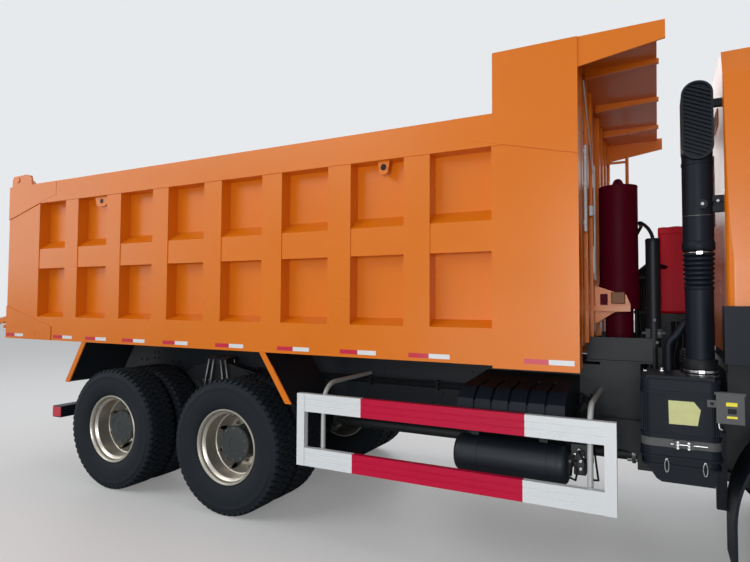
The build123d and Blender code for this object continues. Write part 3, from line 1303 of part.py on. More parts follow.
def door_knuckles(side):
    """Hinge knuckles on the cab and hinge pins on the door, on one side (+1 left, -1 right)."""
    x, y = DOOR_AXIS[0], side * DOOR_AXIS[1]
    skin = side * CAB_HALF_W
    on_cab, on_door = [], []
    for z in DOOR_HINGE_Z:
        eye = rod_z(x, y, (z, z + KNUCKLE_H), KNUCKLE_R)
        plate = box((x, x + 60.0), (skin + side * GAP, y), (z, z + KNUCKLE_H))
        foot = box((x + 26.0, x + 60.0), (skin, y), (z, z + KNUCKLE_H))
        bore = rod_z(x, y, (z - 1.0, z + KNUCKLE_H + 1.0), DOOR_PIN_R + PIN_CLEAR)
        on_cab.append(join([eye, plate, foot]) - bore)
        pin = rod_z(x, y, (z - 20.0, z + KNUCKLE_H + 20.0), DOOR_PIN_R)
        ends = [
            box((x - 50.0, x + 7.0), (skin - side * 5.0, y + side * 6.0), (low, low + 15.0))
            for low in (z - 20.0, z + KNUCKLE_H + 5.0)
        ]
        on_door.append(join([pin, *ends]))
    return on_cab, on_door


CAB_CORNER_R = 120.0
CAB_REAR_R = 40.0
CAB_SECTION = (  # (Y, Z) points of the cab's cross-section
    (-CAB_HALF_W, CAB_CHIN_Z),
    (-CAB_HALF_W, BELT_Z + 40.0),
    (-CAB_HALF_W + 25.0, CAB_ROOF_Z - 180.0),
    (-CAB_HALF_W + 110.0, CAB_ROOF_Z),
    (CAB_HALF_W - 110.0, CAB_ROOF_Z),
    (CAB_HALF_W - 25.0, CAB_ROOF_Z - 180.0),
    (CAB_HALF_W, BELT_Z + 40.0),
    (CAB_HALF_W, CAB_CHIN_Z),
)

CAB_INSIDE = (  # (Y, Z) points of the hollow's cross-section, upwards from the floor
    (-CAB_HALF_W + CAB_WALL, CAB_FLOOR_Z),
    (-CAB_HALF_W + CAB_WALL, CAB_ROOF_Z - 180.0 - CAB_WALL),
    (-CAB_HALF_W + CAB_WALL + 110.0, CAB_ROOF_Z - 20.0),
    (CAB_HALF_W - CAB_WALL - 110.0, CAB_ROOF_Z - 20.0),
    (CAB_HALF_W - CAB_WALL, CAB_ROOF_Z - 180.0 - CAB_WALL),
    (CAB_HALF_W - CAB_WALL, CAB_FLOOR_Z),
)


def cab_skin(z):
    """Distance of the cab's side face from the middle plane at a height."""
    low, high = BELT_Z + 40.0, CAB_ROOF_Z - 180.0
    return CAB_HALF_W - 25.0 * min(max((z - low) / (high - low), 0.0), 1.0)


def cab_body():
    """Whole cab as one hollow shell with rounded edges and a tunnel over the engine."""
    outer = side_prism(CAB_OUTLINE, (-CAB_HALF_W, CAB_HALF_W))
    plan = box((CAB_REAR, CAB_FRONT + 1.0), (-CAB_HALF_W, CAB_HALF_W), (CAB_CHIN_Z - 1.0, CAB_ROOF_Z + 1.0))
    plan = fillet(plan.edges().filter_by(Axis.Z).sort_by(Axis.X)[-2:], CAB_CORNER_R)
    plan = fillet(plan.edges().filter_by(Axis.Z).sort_by(Axis.X)[:2], CAB_REAR_R)
    outer = outer & plan
    outer = outer & cross_prism(CAB_SECTION, (CAB_REAR - 1.0, CAB_FRONT + 1.0))
    hollow = side_prism(CAB_HOLLOW, (-CAB_HALF_W + CAB_WALL, CAB_HALF_W - CAB_WALL))
    hollow &= cross_prism(CAB_INSIDE, (CAB_REAR - 1.0, CAB_FRONT + 1.0))
    tunnel_x = (CAB_REAR, CAB_FRONT - 320.0)
    over = box(tunnel_x, (-TUNNEL_HALF, TUNNEL_HALF), (CAB_FLOOR_Z, TUNNEL_Z))
    under = box(
        (CAB_REAR - 5.0, tunnel_x[1] - 40.0),
        (-TUNNEL_HALF + 40.0, TUNNEL_HALF - 40.0),
        (CAB_FLOOR_Z - 5.0, TUNNEL_Z - 40.0),
    )
    return join([outer - hollow, over]) - under


def screen_opening():
    """Block that cuts the windscreen's opening."""
    outline = [
        (CAB_FRONT + 50.0, BELT_Z + 60.0),
        (CAB_FRONT - 120.0, BELT_Z + 60.0),
        (CAB_FRONT - 360.0, CAB_ROOF_Z - 240.0),
        (CAB_FRONT + 50.0, CAB_ROOF_Z - 240.0),
    ]
    return side_prism(outline, (-SCREEN_HALF, SCREEN_HALF))


def make_cab():
    shell = cab_body()
    doors, knuckles = [], []
    for side in (1, -1):
        y = (side * (CAB_HALF_W - CAB_WALL - 5.0), side * (CAB_HALF_W + 5.0))
        door = (shell & side_prism(door_outline(GAP), y)) - side_prism(window_outline(0.0), y)
        glass_y = (side * (CAB_HALF_W - 30.0), side * (CAB_HALF_W - 24.0))
        on_cab, on_door = door_knuckles(side)
        doors.append((join([door, *on_door]), side_prism(window_outline(-SEAT_GAP), glass_y)))
        shell -= side_prism(door_outline(0.0), y)
        knuckles += on_cab
    for name, (door, glass) in zip(("left", "right"), doors):
        save(f"door_{name}", door)
        save(f"door_glass_{name}", glass)
    shell -= screen_opening()
    rear_window = ((-520.0, 520.0), (2220.0, 2620.0))
    shell -= box((CAB_REAR - 5.0, CAB_REAR + CAB_WALL + 5.0), *rear_window)
    rear_glass = box((CAB_REAR + 20.0, CAB_REAR + 26.0), *rear_window)
    # Windscreen in the middle of the front wall's thickness
    slope = (CAB_FRONT - 20.0 - (CAB_FRONT - 230.0)) / (CAB_ROOF_Z - 150.0 - BELT_Z)
    z0, z1 = BELT_Z + 60.0, CAB_ROOF_Z - 240.0
    x0 = CAB_FRONT - 20.0 - slope * 60.0 - 25.0
    x1 = x0 - slope * (z1 - z0)
    screen = side_prism(
        [(x0, z0), (x0 - SCREEN_T, z0), (x1 - SCREEN_T, z1), (x1, z1)],
        (-SCREEN_HALF, SCREEN_HALF),
    )
    save("cab_glass", screen, rear_glass)
    # Panels of the shell, each kept inside its own block
    big = 3000.0
    roof_z = CAB_ROOF_Z - 110.0
    floor_top = CAB_FLOOR_Z + CAB_WALL
    front_x = DOOR_FRONT + 60.0
    blocks = {
        "cab_roof": box((CAB_REAR - big, CAB_FRONT + big), (-big, big), (roof_z, roof_z + big)),
        "cab_floor": box((CAB_REAR - big, front_x), (-big, big), (CAB_FLOOR_Z - 1.0, floor_top))
        + box((CAB_REAR + CAB_WALL, front_x), (-CAB_HALF_W + CAB_WALL, CAB_HALF_W - CAB_WALL), (floor_top, TUNNEL_Z + 1.0)),
        "cab_front": box((front_x, CAB_FRONT + big), (-big, big), (CAB_CHIN_Z - 1.0, BELT_Z + 60.0))
        + box((CAB_FRONT - 200.0, CAB_FRONT), (-CAB_HALF_W, CAB_HALF_W), (CAB_CHIN_Z, CAB_FLOOR_Z)),
    }
    for name, block in blocks.items():
        panel = shell & block
        if name == "cab_front":
            panel = join([panel, *cab_hinge()])
        save(name, panel)
        shell -= block
    # The rear wall and the two sides, which meet in the middle of the windscreen's header
    rear = box((CAB_REAR - big, CAB_REAR + CAB_WALL), (-big, big), (0.0, big + CAB_ROOF_Z))
    left = box((CAB_REAR + CAB_WALL, CAB_FRONT + big), (0.0, big), (0.0, big + CAB_ROOF_Z))
    right = mirror(left, about=MIRROR)
    save("cab_walls", shell & rear, join([shell & left, *knuckles[:2]]), join([shell & right, *knuckles[2:]]))


def cab_hinge():
    """Hinge bar and the arms that hold it under the cab's front."""
    bar = rod_y(CAB_HINGE, (-CAB_LUG_Y[1] - 10.0, CAB_LUG_Y[1] + 10.0), CAB_HINGE_Z, CAB_BAR_R)
    arm = side_prism(
        [
            (CAB_HINGE - 35.0, CAB_HINGE_Z - 20.0),
            (CAB_HINGE + 35.0, CAB_HINGE_Z - 20.0),
            (CAB_FRONT - 100.0, CAB_CHIN_Z + 5.0),
            (CAB_FRONT - 130.0, CAB_FLOOR_Z - 20.0),
            (CAB_FRONT - 155.0, CAB_FLOOR_Z - 20.0),
        ],
        (CAB_LUG_Y[0] - 50.0, CAB_LUG_Y[0] - GAP),
    )
    return [bar, *both_sides(arm)]


def arch_trim():
    """Raised lower trim round the cab's rear left corner, over the front wheel's rear half."""
    outline = [
        (CAB_REAR, TRIM_Z[0]),
        (CAB_REAR, TRIM_Z[1]),
        (FRONT_AXLE + 180.0, TRIM_Z[1]),
        (DOOR_REAR - 30.0, TRIM_Z[0]),
    ]
    side = side_prism(outline, (CAB_HALF_W, CAB_HALF_W + 50.0))
    back = box((CAB_REAR - 20.0, CAB_REAR), (CAB_HALF_W - 60.0, CAB_HALF_W + 50.0), TRIM_Z)
    corner = box((CAB_REAR - 20.0, CAB_REAR + 60.0), (CAB_HALF_W, CAB_HALF_W + 50.0), TRIM_Z)
    return join([side, back, corner])


TRIM_Z = (1385.0, 1690.0)
GRILLE_SLOTS = 5


def make_cab_fittings():
    visor = side_prism(
        [
            (CAB_FRONT - 230.0, CAB_ROOF_Z - 150.0),
            (CAB_FRONT - 210.0, CAB_ROOF_Z - 240.0 + 0.0),
            (CAB_FRONT + 20.0, CAB_ROOF_Z - 290.0),
            (CAB_FRONT + 20.0, CAB_ROOF_Z - 260.0),
        ],
        (-CAB_HALF_W + 60.0, CAB_HALF_W - 60.0),
    )
    grille = box((CAB_FRONT, CAB_FRONT + 16.0), (-760.0, 760.0), (1180.0, 1500.0))
    slot_h = (1500.0 - 1180.0) / (2 * GRILLE_SLOTS + 1)
    for i in range(GRILLE_SLOTS):
        z = 1180.0 + (2 * i + 1) * slot_h
        grille -= box((CAB_FRONT + 6.0, CAB_FRONT + 17.0), (-730.0, 730.0), (z, z + slot_h))
    save("cab_trim", visor, grille, *both_sides(arch_trim()))


MIRROR_X = CAB_FRONT - 70.0
MIRROR_Y = (CAB_HALF_W + 75.0, CAB_HALF_W + 250.0)
MIRROR_ARM_R = 14.0


def make_mirrors():
    x = (MIRROR_X - 40.0, MIRROR_X + 40.0)
    head = box(x, MIRROR_Y, (2180.0, 2620.0))
    head = fillet(head.edges(), 25.0)
    small = box(x, MIRROR_Y, (1960.0, 2140.0))
    small = fillet(small.edges(), 25.0)
    mid = sum(MIRROR_Y) / 2
    post = rod_z(MIRROR_X, mid, (2120.0, 2200.0), MIRROR_ARM_R)
    arm_z, pillar_x = 2660.0, CAB_FRONT - 255.0
    low_x, low_y, low_z = CAB_FRONT - 140.0, MIRROR_Y[0] + 30.0, 2040.0
    arms = [
        rod_y(pillar_x, (cab_skin(arm_z - MIRROR_ARM_R), mid), arm_z, MIRROR_ARM_R),
        rod_x((pillar_x - MIRROR_ARM_R, MIRROR_X + MIRROR_ARM_R), mid, arm_z, MIRROR_ARM_R),
        rod_z(MIRROR_X, mid, (2600.0, arm_z + MIRROR_ARM_R), MIRROR_ARM_R),
        rod_y(low_x, (cab_skin(low_z - MIRROR_ARM_R), low_y + MIRROR_ARM_R), low_z, MIRROR_ARM_R),
        rod_x((low_x, MIRROR_X), low_y, low_z, MIRROR_ARM_R),
    ]
    save("mirrors", *both_sides(join([head, small, post, *arms])))


SNORKEL_R = 78.0
HEAD_Z = 2502.0
HEAD_HALF = 78.0
HEAD_R = 76.0
HEAD_RIM = 12.0
HEAD_POCKET = 20.0
HEAD_SLATS = 17


def make_snorkel():
    """Upright tube with a tall slatted head that faces outwards."""
    tube = rod_z(DUCT_X, DUCT_Y, (SNORKEL_Z[0], HEAD_Z + 60.0), SNORKEL_R)
    x = (DUCT_X - HEAD_HALF, DUCT_X + HEAD_HALF)
    face = DUCT_Y - 100.0
    head = box(x, (face, DUCT_Y + 90.0), (HEAD_Z, SNORKEL_Z[1]))
    head = fillet(head.edges().filter_by(Axis.Y), HEAD_R)
    inner_x = (x[0] + HEAD_RIM, x[1] - HEAD_RIM)
    inner_z = (HEAD_Z + HEAD_RIM, SNORKEL_Z[1] - HEAD_RIM)
    pocket = box(inner_x, (face - 1.0, face + HEAD_POCKET), inner_z)
    pocket = fillet(pocket.edges().filter_by(Axis.Y), HEAD_R - HEAD_RIM)
    pitch = (inner_z[1] - inner_z[0]) / (HEAD_SLATS + 1)
    slats = []
    for i in range(1, HEAD_SLATS + 1):
        z = inner_z[0] + i * pitch
        slat = Rot(0, 25, 0) * Box(4 * HEAD_HALF, HEAD_POCKET + 2.0, 0.35 * pitch)
        slat = Pos(DUCT_X, face + HEAD_POCKET / 2 + 3.0, z) * slat
        slats.append(slat & pocket)
    stays = [
        box((DUCT_X, CAB_REAR), (DUCT_Y - 20.0, DUCT_Y + 20.0), (z, z + 40.0)) for z in (2230.0, 2812.0)
    ]
    save("snorkel", join([tube, head - pocket, *slats, *stays]))


SEAT_X = (DOOR_REAR + 60.0, DOOR_REAR + 560.0)
SEAT_Y = (480.0, 960.0)


def make_interior():
    """Seats, dashboard and steering wheel."""
    cushion = box(SEAT_X, SEAT_Y, (1760.0, 1900.0))
    back = side_prism(
        [
            (SEAT_X[0], 1900.0),
            (SEAT_X[0] - 130.0, 2560.0),
            (SEAT_X[0] - 30.0, 2600.0),
            (SEAT_X[0] + 110.0, 1900.0),
        ],
        SEAT_Y,
    )
    base_y = (SEAT_Y[0] + 60.0, SEAT_Y[1] - 60.0)
    base = box((SEAT_X[0] + 60.0, SEAT_X[1] - 60.0), base_y, (CAB_FLOOR_Z + CAB_WALL, 1760.0))
    dash = side_prism(
        [
            (CAB_FRONT - 340.0, TUNNEL_Z + 10.0),
            (CAB_FRONT - 420.0, 1850.0),
            (CAB_FRONT - 330.0, 1930.0),
            (CAB_FRONT - 82.0, 1930.0),
            (CAB_FRONT - 75.5, BELT_Z),
            (CAB_FRONT - 62.0, TUNNEL_Z + 10.0),
        ],
        (-CAB_HALF_W + CAB_WALL + 60.0, CAB_HALF_W - CAB_WALL - 60.0),
    )
    place = Pos(CAB_FRONT - 455.0, sum(SEAT_Y) / 2, 2065.0) * Rot(0, -35, 0)
    wheel = place * Torus(210.0, 15.0)
    spoke = place * Box(40.0, 410.0, 20.0)
    column = place * Pos(0, 0, -130.0) * Cylinder(35.0, 260.0)
    save("cab_interior", *both_sides(join([cushion, back, base])), join([dash, wheel, spoke, column]))


def main():
    os.makedirs("parts", exist_ok=True)
    make_frame()
    make_subframe()
    make_hoist()
    make_front_axle()
    make_knuckles()
    make_rear_axles()
    make_rear_suspension()
    make_engine()
    make_battery_box()
    make_air_tanks()
    make_fuel_tank()
    make_air_intake()
    make_oil_tank()
    make_exhaust()
    make_side_guards()
    make_rear_guard()
    make_bumper()
    make_mudguards()
    make_wheels()
    make_bed_sides()
    make_bed_floor()
    make_headboard()
    make_canopy()
    make_splash_plates()
    make_tailgate()
    make_cab()
    make_cab_fittings()
    make_mirrors()
    make_snorkel()
    make_interior()


main()
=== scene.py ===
import json
import math

import bmesh
import bpy
from mathutils import Matrix, Vector


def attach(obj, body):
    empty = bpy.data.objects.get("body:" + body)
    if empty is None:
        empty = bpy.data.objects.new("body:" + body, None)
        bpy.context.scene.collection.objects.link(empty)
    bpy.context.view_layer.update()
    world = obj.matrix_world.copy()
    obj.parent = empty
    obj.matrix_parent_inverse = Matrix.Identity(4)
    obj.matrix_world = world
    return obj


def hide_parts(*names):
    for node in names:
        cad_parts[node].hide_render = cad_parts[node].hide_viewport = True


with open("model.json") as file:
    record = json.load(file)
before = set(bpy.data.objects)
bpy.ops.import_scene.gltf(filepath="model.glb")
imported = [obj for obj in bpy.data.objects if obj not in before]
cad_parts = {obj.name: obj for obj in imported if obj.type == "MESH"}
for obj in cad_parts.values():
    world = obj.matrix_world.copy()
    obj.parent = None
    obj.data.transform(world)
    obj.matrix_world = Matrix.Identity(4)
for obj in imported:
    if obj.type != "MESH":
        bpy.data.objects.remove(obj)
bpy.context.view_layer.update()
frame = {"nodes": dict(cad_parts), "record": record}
nodes = frame["nodes"]

# Camera: focal length for the 750 by 562 picture, place and turn fitted to the photograph
CAMERA_POS = (1.873, -4.6308, 1.6981)
CAMERA_YAW, CAMERA_PITCH, CAMERA_ROLL = 27.15, 2.26, 0.29
CAMERA_LENS = 26.45


def add_object(name, data):
    obj = bpy.data.objects.new(name, data)
    bpy.context.scene.collection.objects.link(obj)
    return obj


def make_camera():
    yaw, pitch, roll = (math.radians(a) for a in (CAMERA_YAW, CAMERA_PITCH, CAMERA_ROLL))
    forward = Vector((-math.sin(yaw) * math.cos(pitch), math.cos(yaw) * math.cos(pitch), math.sin(pitch)))
    side = Vector((math.cos(yaw), math.sin(yaw), 0))
    top = side.cross(forward)
    right = side * math.cos(roll) + top * math.sin(roll)
    up = top * math.cos(roll) - side * math.sin(roll)
    data = bpy.data.cameras.new("camera")
    data.lens = CAMERA_LENS
    data.sensor_width = 36.0
    data.clip_end = 200.0
    camera = add_object("camera", data)
    turn = Matrix((right, up, -forward)).transposed().to_4x4()
    camera.matrix_world = Matrix.Translation(Vector(CAMERA_POS)) @ turn
    bpy.context.scene.camera = camera


make_camera()


# Materials

SLOT_MATERIAL, SLOT_OF = {}, {}


def feed(tree, node, inputs):
    """Sets a node's inputs to values, or links them to other nodes' outputs."""
    for socket, value in inputs.items():
        if isinstance(value, bpy.types.NodeSocket):
            tree.links.new(value, node.inputs[socket])
        else:
            node.inputs[socket].default_value = value


def add_node(tree, kind, inputs=None, **settings):
    node = tree.nodes.new("ShaderNode" + kind)
    for name, value in settings.items():
        setattr(node, name, value)
    feed(tree, node, inputs or {})
    return node


def new_material(name, slot, inputs):
    """Principled material; the first one of a slot also dresses the slot's CAD pieces."""
    mat = bpy.data.materials.new(name)
    mat.use_nodes = True
    feed(mat.node_tree, mat.node_tree.nodes["Principled BSDF"], inputs)
    SLOT_OF[mat.name] = slot
    SLOT_MATERIAL.setdefault(slot, mat)
    return mat


def material(
    name, color, rough=0.5, slot=None, metal=0.0, coat=0.0, bump=0.0, scale=60.0, patch=0.0, patch_scale=2.0,
    shine=0.5,
):
    """Material with fine grain as bump and a slow change of brightness and gloss."""
    mat = new_material(name, slot or name, {
        "Base Color": (*color, 1.0), "Roughness": rough, "Metallic": metal, "Specular IOR Level": shine,
        "Coat Weight": coat, "Coat Roughness": 0.08,
    })
    tree, looks = mat.node_tree, {}
    place = add_node(tree, "TexCoord").outputs["Object"]
    if patch:
        noise = add_node(tree, "TexNoise", {"Scale": patch_scale, "Detail": 4.0, "Vector": place})
        noise = noise.outputs["Fac"]
        span = add_node(tree, "MapRange", {"To Min": 1.0 - patch, "To Max": 1.0 + patch, "Value": noise})
        tint = add_node(tree, "VectorMath", {0: color, "Scale": span.outputs["Result"]}, operation="SCALE")
        low, high = max(rough - 0.08, 0.02), min(rough + 0.08, 1.0)
        gloss = add_node(tree, "MapRange", {"To Min": low, "To Max": high, "Value": noise})
        looks = {"Base Color": tint.outputs["Vector"], "Roughness": gloss.outputs["Result"]}
    if bump:
        grain = add_node(tree, "TexNoise", {"Scale": scale, "Detail": 3.0, "Vector": place})
        rise = add_node(tree, "Bump", {"Strength": bump, "Distance": 0.002, "Height": grain.outputs["Fac"]})
        looks["Normal"] = rise.outputs["Normal"]
    feed(tree, tree.nodes["Principled BSDF"], looks)
    return mat


ORANGE = material(
    "orange_paint", (0.7, 0.172, 0.004), 0.3, bump=0.02, scale=25.0, patch=0.05, patch_scale=1.5, shine=0.4
)
MAROON = material("maroon_paint", (0.085, 0.0008, 0.011), 0.55, bump=0.02, patch=0.05, shine=0.08)
RED = material("red_paint", (0.85, 0.008, 0.034), 0.45, bump=0.02, patch=0.04, shine=0.15)
# Orange paint darkened to brown: painted shade for the hoist arm's bearings
ARM_SHADED_ORANGE = material("arm_orange_painted_shade", (0.22, 0.085, 0.02), 0.45, "orange_paint", bump=0.03, patch=0.08, shine=0.3)
GUARD_RED = material("guard_red", (0.5, 0.005, 0.042), 0.36, "red_paint", bump=0.02, patch=0.05, shine=0.2)
WHITE = material("white_paint", (0.7, 0.73, 0.75), 0.35, coat=0.1, bump=0.03, patch=0.04)
CHASSIS = material(
    "chassis_paint", (0.009, 0.013, 0.018), 0.45, "frame_paint", bump=0.1, patch=0.15, shine=0.25
)
CAST = material(
    "cast_metal", (0.022, 0.025, 0.027), 0.55, "cast", metal=0.3, bump=0.25, scale=120.0, patch=0.15
)
STEEL = material("steel", (0.55, 0.55, 0.55), 0.3, metal=1.0, bump=0.03, patch=0.05)
SILVER = material("rim_silver", (0.52, 0.49, 0.43), 0.32, "silver_paint", metal=0.75, bump=0.05, patch=0.06)
HUB = material("hub_paint", (0.04, 0.047, 0.047), 0.42, "cast", metal=0.3, bump=0.12, patch=0.12)
STEEL_DARK = material("dark_steel", (0.2, 0.2, 0.2), 0.4, "steel", metal=0.8, bump=0.08, patch=0.1)
PALE_TUBE = material("grey_tube", (0.45, 0.47, 0.46), 0.4, "silver_paint", metal=0.2, bump=0.04, patch=0.06)
TAPE_RED = material(
    "tape_red", (0.55, 0.008, 0.04), 0.3, "red_paint", coat=0.4, bump=0.05, scale=400.0, patch=0.04
)
TYRE = material(
    "tyre_rubber", (0.007, 0.011, 0.016), 0.75, "tyre", bump=0.25, scale=160.0, patch=0.15,
    patch_scale=6.0, shine=0.25,
)
PLASTIC = material("black_plastic", (0.006, 0.009, 0.015), 0.48, bump=0.12, scale=300.0, patch=0.08, shine=0.15)
RUBBER = material(
    "black_rubber", (0.006, 0.007, 0.009), 0.55, "black_plastic", bump=0.1, scale=200.0,
    patch=0.06, shine=0.2,
)
FABRIC = material("seat_fabric", (0.05, 0.052, 0.06), 0.9, "trim", bump=0.4, scale=500.0, patch=0.08)
# Lenses of the CAD lamps
material(
    "lamp_lens", (0.75, 0.78, 0.8), 0.08, "lens", metal=0.4, coat=1.0, bump=0.05, scale=90.0, patch=0.05
)
LABEL = material(
    "label_yellow", (0.56, 0.57, 0.25), 0.55, "trim", bump=0.06, scale=40.0, patch=0.12, patch_scale=30.0
)
YELLOW = material("bar_yellow", (0.85, 0.72, 0.02), 0.5, "trim", patch=0.05)
GREY_BOX = material("box_grey", (0.06, 0.062, 0.064), 0.55, "frame_paint", bump=0.1, scale=200.0, patch=0.1)
AMBER = material("amber_lens", (0.8, 0.24, 0.01), 0.12, "lens", coat=1.0, bump=0.05, scale=90.0, patch=0.05)
# Windows, which only the CAD pieces have
new_material("window_glass", "glass", {
    "Base Color": (0.3, 0.36, 0.36, 1.0), "Roughness": 0.03, "Alpha": 0.32, "Coat Weight": 0.5,
})
MIRROR = material("mirror_silver", (0.8, 0.82, 0.84), 0.03, "glass", metal=1.0, bump=0.01, patch=0.02)

for row in frame["record"]["subparts"]:
    node = nodes[row["node"]]
    node.data.materials.clear()
    node.data.materials.append(SLOT_MATERIAL[row["material_slot"]])


# Mesh helpers; every length is in metres

SIDES = ((1, "left"), (-1, "right"))


def near(middle, half):
    """Range about a middle."""
    return (middle - half, middle + half)


def inset(ends, d):
    """Range made shorter by d at both ends."""
    return (ends[0] + d, ends[1] - d)


def circle(n, start=0.0):
    """Cosine and sine at n even steps round a full turn, the first one shifted by start steps."""
    return [(math.cos(t), math.sin(t)) for t in (2 * math.pi * (k + start) / n for k in range(n))]


def arc(first, last, steps):
    """Cosine and sine at even steps between two angles in degrees, with both ends."""
    turns = (math.radians(first + (last - first) * k / steps) for k in range(steps + 1))
    return [(math.cos(t), math.sin(t)) for t in turns]


def quads(rings, corners, run=False, ring=True):
    """Faces between rings of corners; run joins the last ring to the first, and ring closes each ring."""
    faces = []
    for i in range(rings if run else rings - 1):
        low, high = i * corners, (i + 1) % rings * corners
        for k in range(corners if ring else corners - 1):
            q = (k + 1) % corners
            faces.append((low + k, low + q, high + q, high + k))
    return faces


def mend(mesh, weld=0.0):
    """Joins corners that lie closer than weld, and turns all faces outwards."""
    fix = bmesh.new()
    fix.from_mesh(mesh)
    if weld:
        bmesh.ops.remove_doubles(fix, verts=fix.verts, dist=weld)
    bmesh.ops.recalc_face_normals(fix, faces=fix.faces)
    fix.to_mesh(mesh)
    fix.free()


def mesh_object(name, verts, faces):
    mesh = bpy.data.meshes.new(name)
    mesh.from_pydata([tuple(v) for v in verts], [], faces)
    mesh.validate()
    mend(mesh)
    return add_object(name, mesh)


def piece(name, verts, faces, mat, body, smooth=None):
    """New mesh piece that rides on a CAD body; edges stay sharp above smooth, an angle in degrees."""
    obj = mesh_object(name, verts, faces)
    if smooth:
        obj.data.shade_smooth()
        obj.data.set_sharp_from_angle(angle=math.radians(smooth))
    obj.data.materials.append(mat)
    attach(obj, body)
    return obj


class Shape:
    """Growing list of corners and faces, with boxes, rods and turned forms."""

    def __init__(self):
        self.v, self.f = [], []

    def add(self, verts, faces):
        base = len(self.v)
        self.v += [Vector(v) for v in verts]
        self.f += [tuple(i + base for i in face) for face in faces]
        return self

    def box(self, x, y, z):
        v = [(a, b, c) for a in sorted(x) for b in sorted(y) for c in sorted(z)]
        f = [(0, 1, 3, 2), (4, 6, 7, 5), (0, 4, 5, 1), (2, 3, 7, 6), (0, 2, 6, 4), (1, 5, 7, 3)]
        return self.add(v, f)

    def rod(self, a, b, r, n=16, r2=None):
        """Round bar between two points, or a cone with a second radius."""
        a, b = Vector(a), Vector(b)
        turn = (b - a).to_track_quat("Z", "Y").to_matrix()
        ends = ((a, r), (b, r if r2 is None else r2))
        v = [p + turn @ Vector((c * rad, s * rad, 0)) for p, rad in ends for c, s in circle(n)]
        return self.add(v, quads(2, n) + [tuple(reversed(range(n))), tuple(range(n, 2 * n))])

    def bar(self, x, y, z, r, n=16):
        """Round bar along the axis whose two ends are given as a pair."""
        a, b = ([c[i] if isinstance(c, tuple) else c for c in (x, y, z)] for i in (0, 1))
        return self.rod(a, b, r, n)

    def lathe(self, profile, centre, axis=(0, 0, 1), n=64, closed=True):
        """Profile of (radius, distance along the axis) turned about an axis through centre."""
        centre = Vector(centre)
        turn = Vector(axis).to_track_quat("Z", "Y").to_matrix()
        v = [centre + turn @ Vector((c * r, s * r, d)) for c, s in circle(n) for r, d in profile]
        return self.add(v, quads(n, len(profile), True, closed))

    def tube(self, points, r, n=12):
        """Round tube through points, with square-cut joints."""
        pts = [Vector(p) for p in points]
        v = []
        side = None
        for i, p in enumerate(pts):
            way = (pts[min(i + 1, len(pts) - 1)] - pts[max(i - 1, 0)]).normalized()
            side = (way.orthogonal() if side is None else side - way * side.dot(way)).normalized()
            other = way.cross(side)
            v += [p + side * c * r + other * s * r for c, s in circle(n)]
        ends = [tuple(reversed(range(n))), tuple(range(len(v) - n, len(v)))]
        return self.add(v, quads(len(pts), n) + ends)

    def prism(self, outline, shift):
        """Flat outline of corners, pushed along a vector."""
        low = [Vector(p) for p in outline]
        n = len(low)
        ends = [tuple(range(n)), tuple(reversed(range(n, 2 * n)))]
        return self.add(low + [p + Vector(shift) for p in low], quads(2, n) + ends)

    def join(self, other):
        return self.add(other.v, other.f)

    def moved(self, by, flip=False):
        """Copy moved by a vector, and mirrored in Y where flip is set."""
        s = -1.0 if flip else 1.0
        out = Shape()
        out.v = [Vector((p.x + by[0], (p.y + by[1]) * s, p.z + by[2])) for p in self.v]
        out.f = [tuple(reversed(f)) for f in self.f] if flip else list(self.f)
        return out

    def mirrored(self):
        """Itself and its mirror image in Y."""
        return Shape().join(self).join(self.moved((0, 0, 0), True))

    def take(self, obj):
        """Adds an object's mesh and removes the object."""
        self.add([v.co for v in obj.data.vertices], [tuple(p.vertices) for p in obj.data.polygons])
        bpy.data.objects.remove(obj)
        return self

    def done(self, name, mat, body="chassis", smooth=None, slot=None):
        return piece(name, self.v, self.f, mat, body, smooth)


def shapes(count):
    return [Shape() for _ in range(count)]


def bevel(obj, width, segments=2, angle=30):
    mod = obj.modifiers.new("bevel", "BEVEL")
    mod.width = width
    mod.segments = segments
    mod.limit_method = "ANGLE"
    mod.angle_limit = math.radians(angle)
    return obj


def cut(obj, cutter):
    """Takes the cutter away from the object, for good."""
    mod = obj.modifiers.new("cut", "BOOLEAN")
    mod.operation = "DIFFERENCE"
    mod.solver = "EXACT"
    mod.object = cutter
    bpy.context.view_layer.update()
    shape = bpy.data.meshes.new_from_object(obj.evaluated_get(bpy.context.evaluated_depsgraph_get()))
    obj.modifiers.remove(mod)
    obj.data = shape
    bpy.data.objects.remove(cutter)
    return obj


# Places shared with the CAD model, in metres

NOSE = 4.36
FRONT_AXLE = NOSE - 1.48
REAR_AXLES = (FRONT_AXLE - 4.1, FRONT_AXLE - 5.45)
TANDEM_MID = sum(REAR_AXLES) / 2
BED_FRONT = REAR_AXLES[0] + 2.69
BED_REAR = BED_FRONT - 5.655
HOIST_X = BED_FRONT + 0.14
CAB_FRONT = NOSE - 0.06
CAB_REAR = CAB_FRONT - 2.095
REAR_BAR_X = REAR_AXLES[1] - 0.985
STEP_X = FRONT_AXLE + 0.669
HUB_Z, SHAFT_Z = 0.538, 0.58
BED_SIDE_Y = 1.25


# Wheels, built once about the origin with the axle along Y and the outside towards +Y

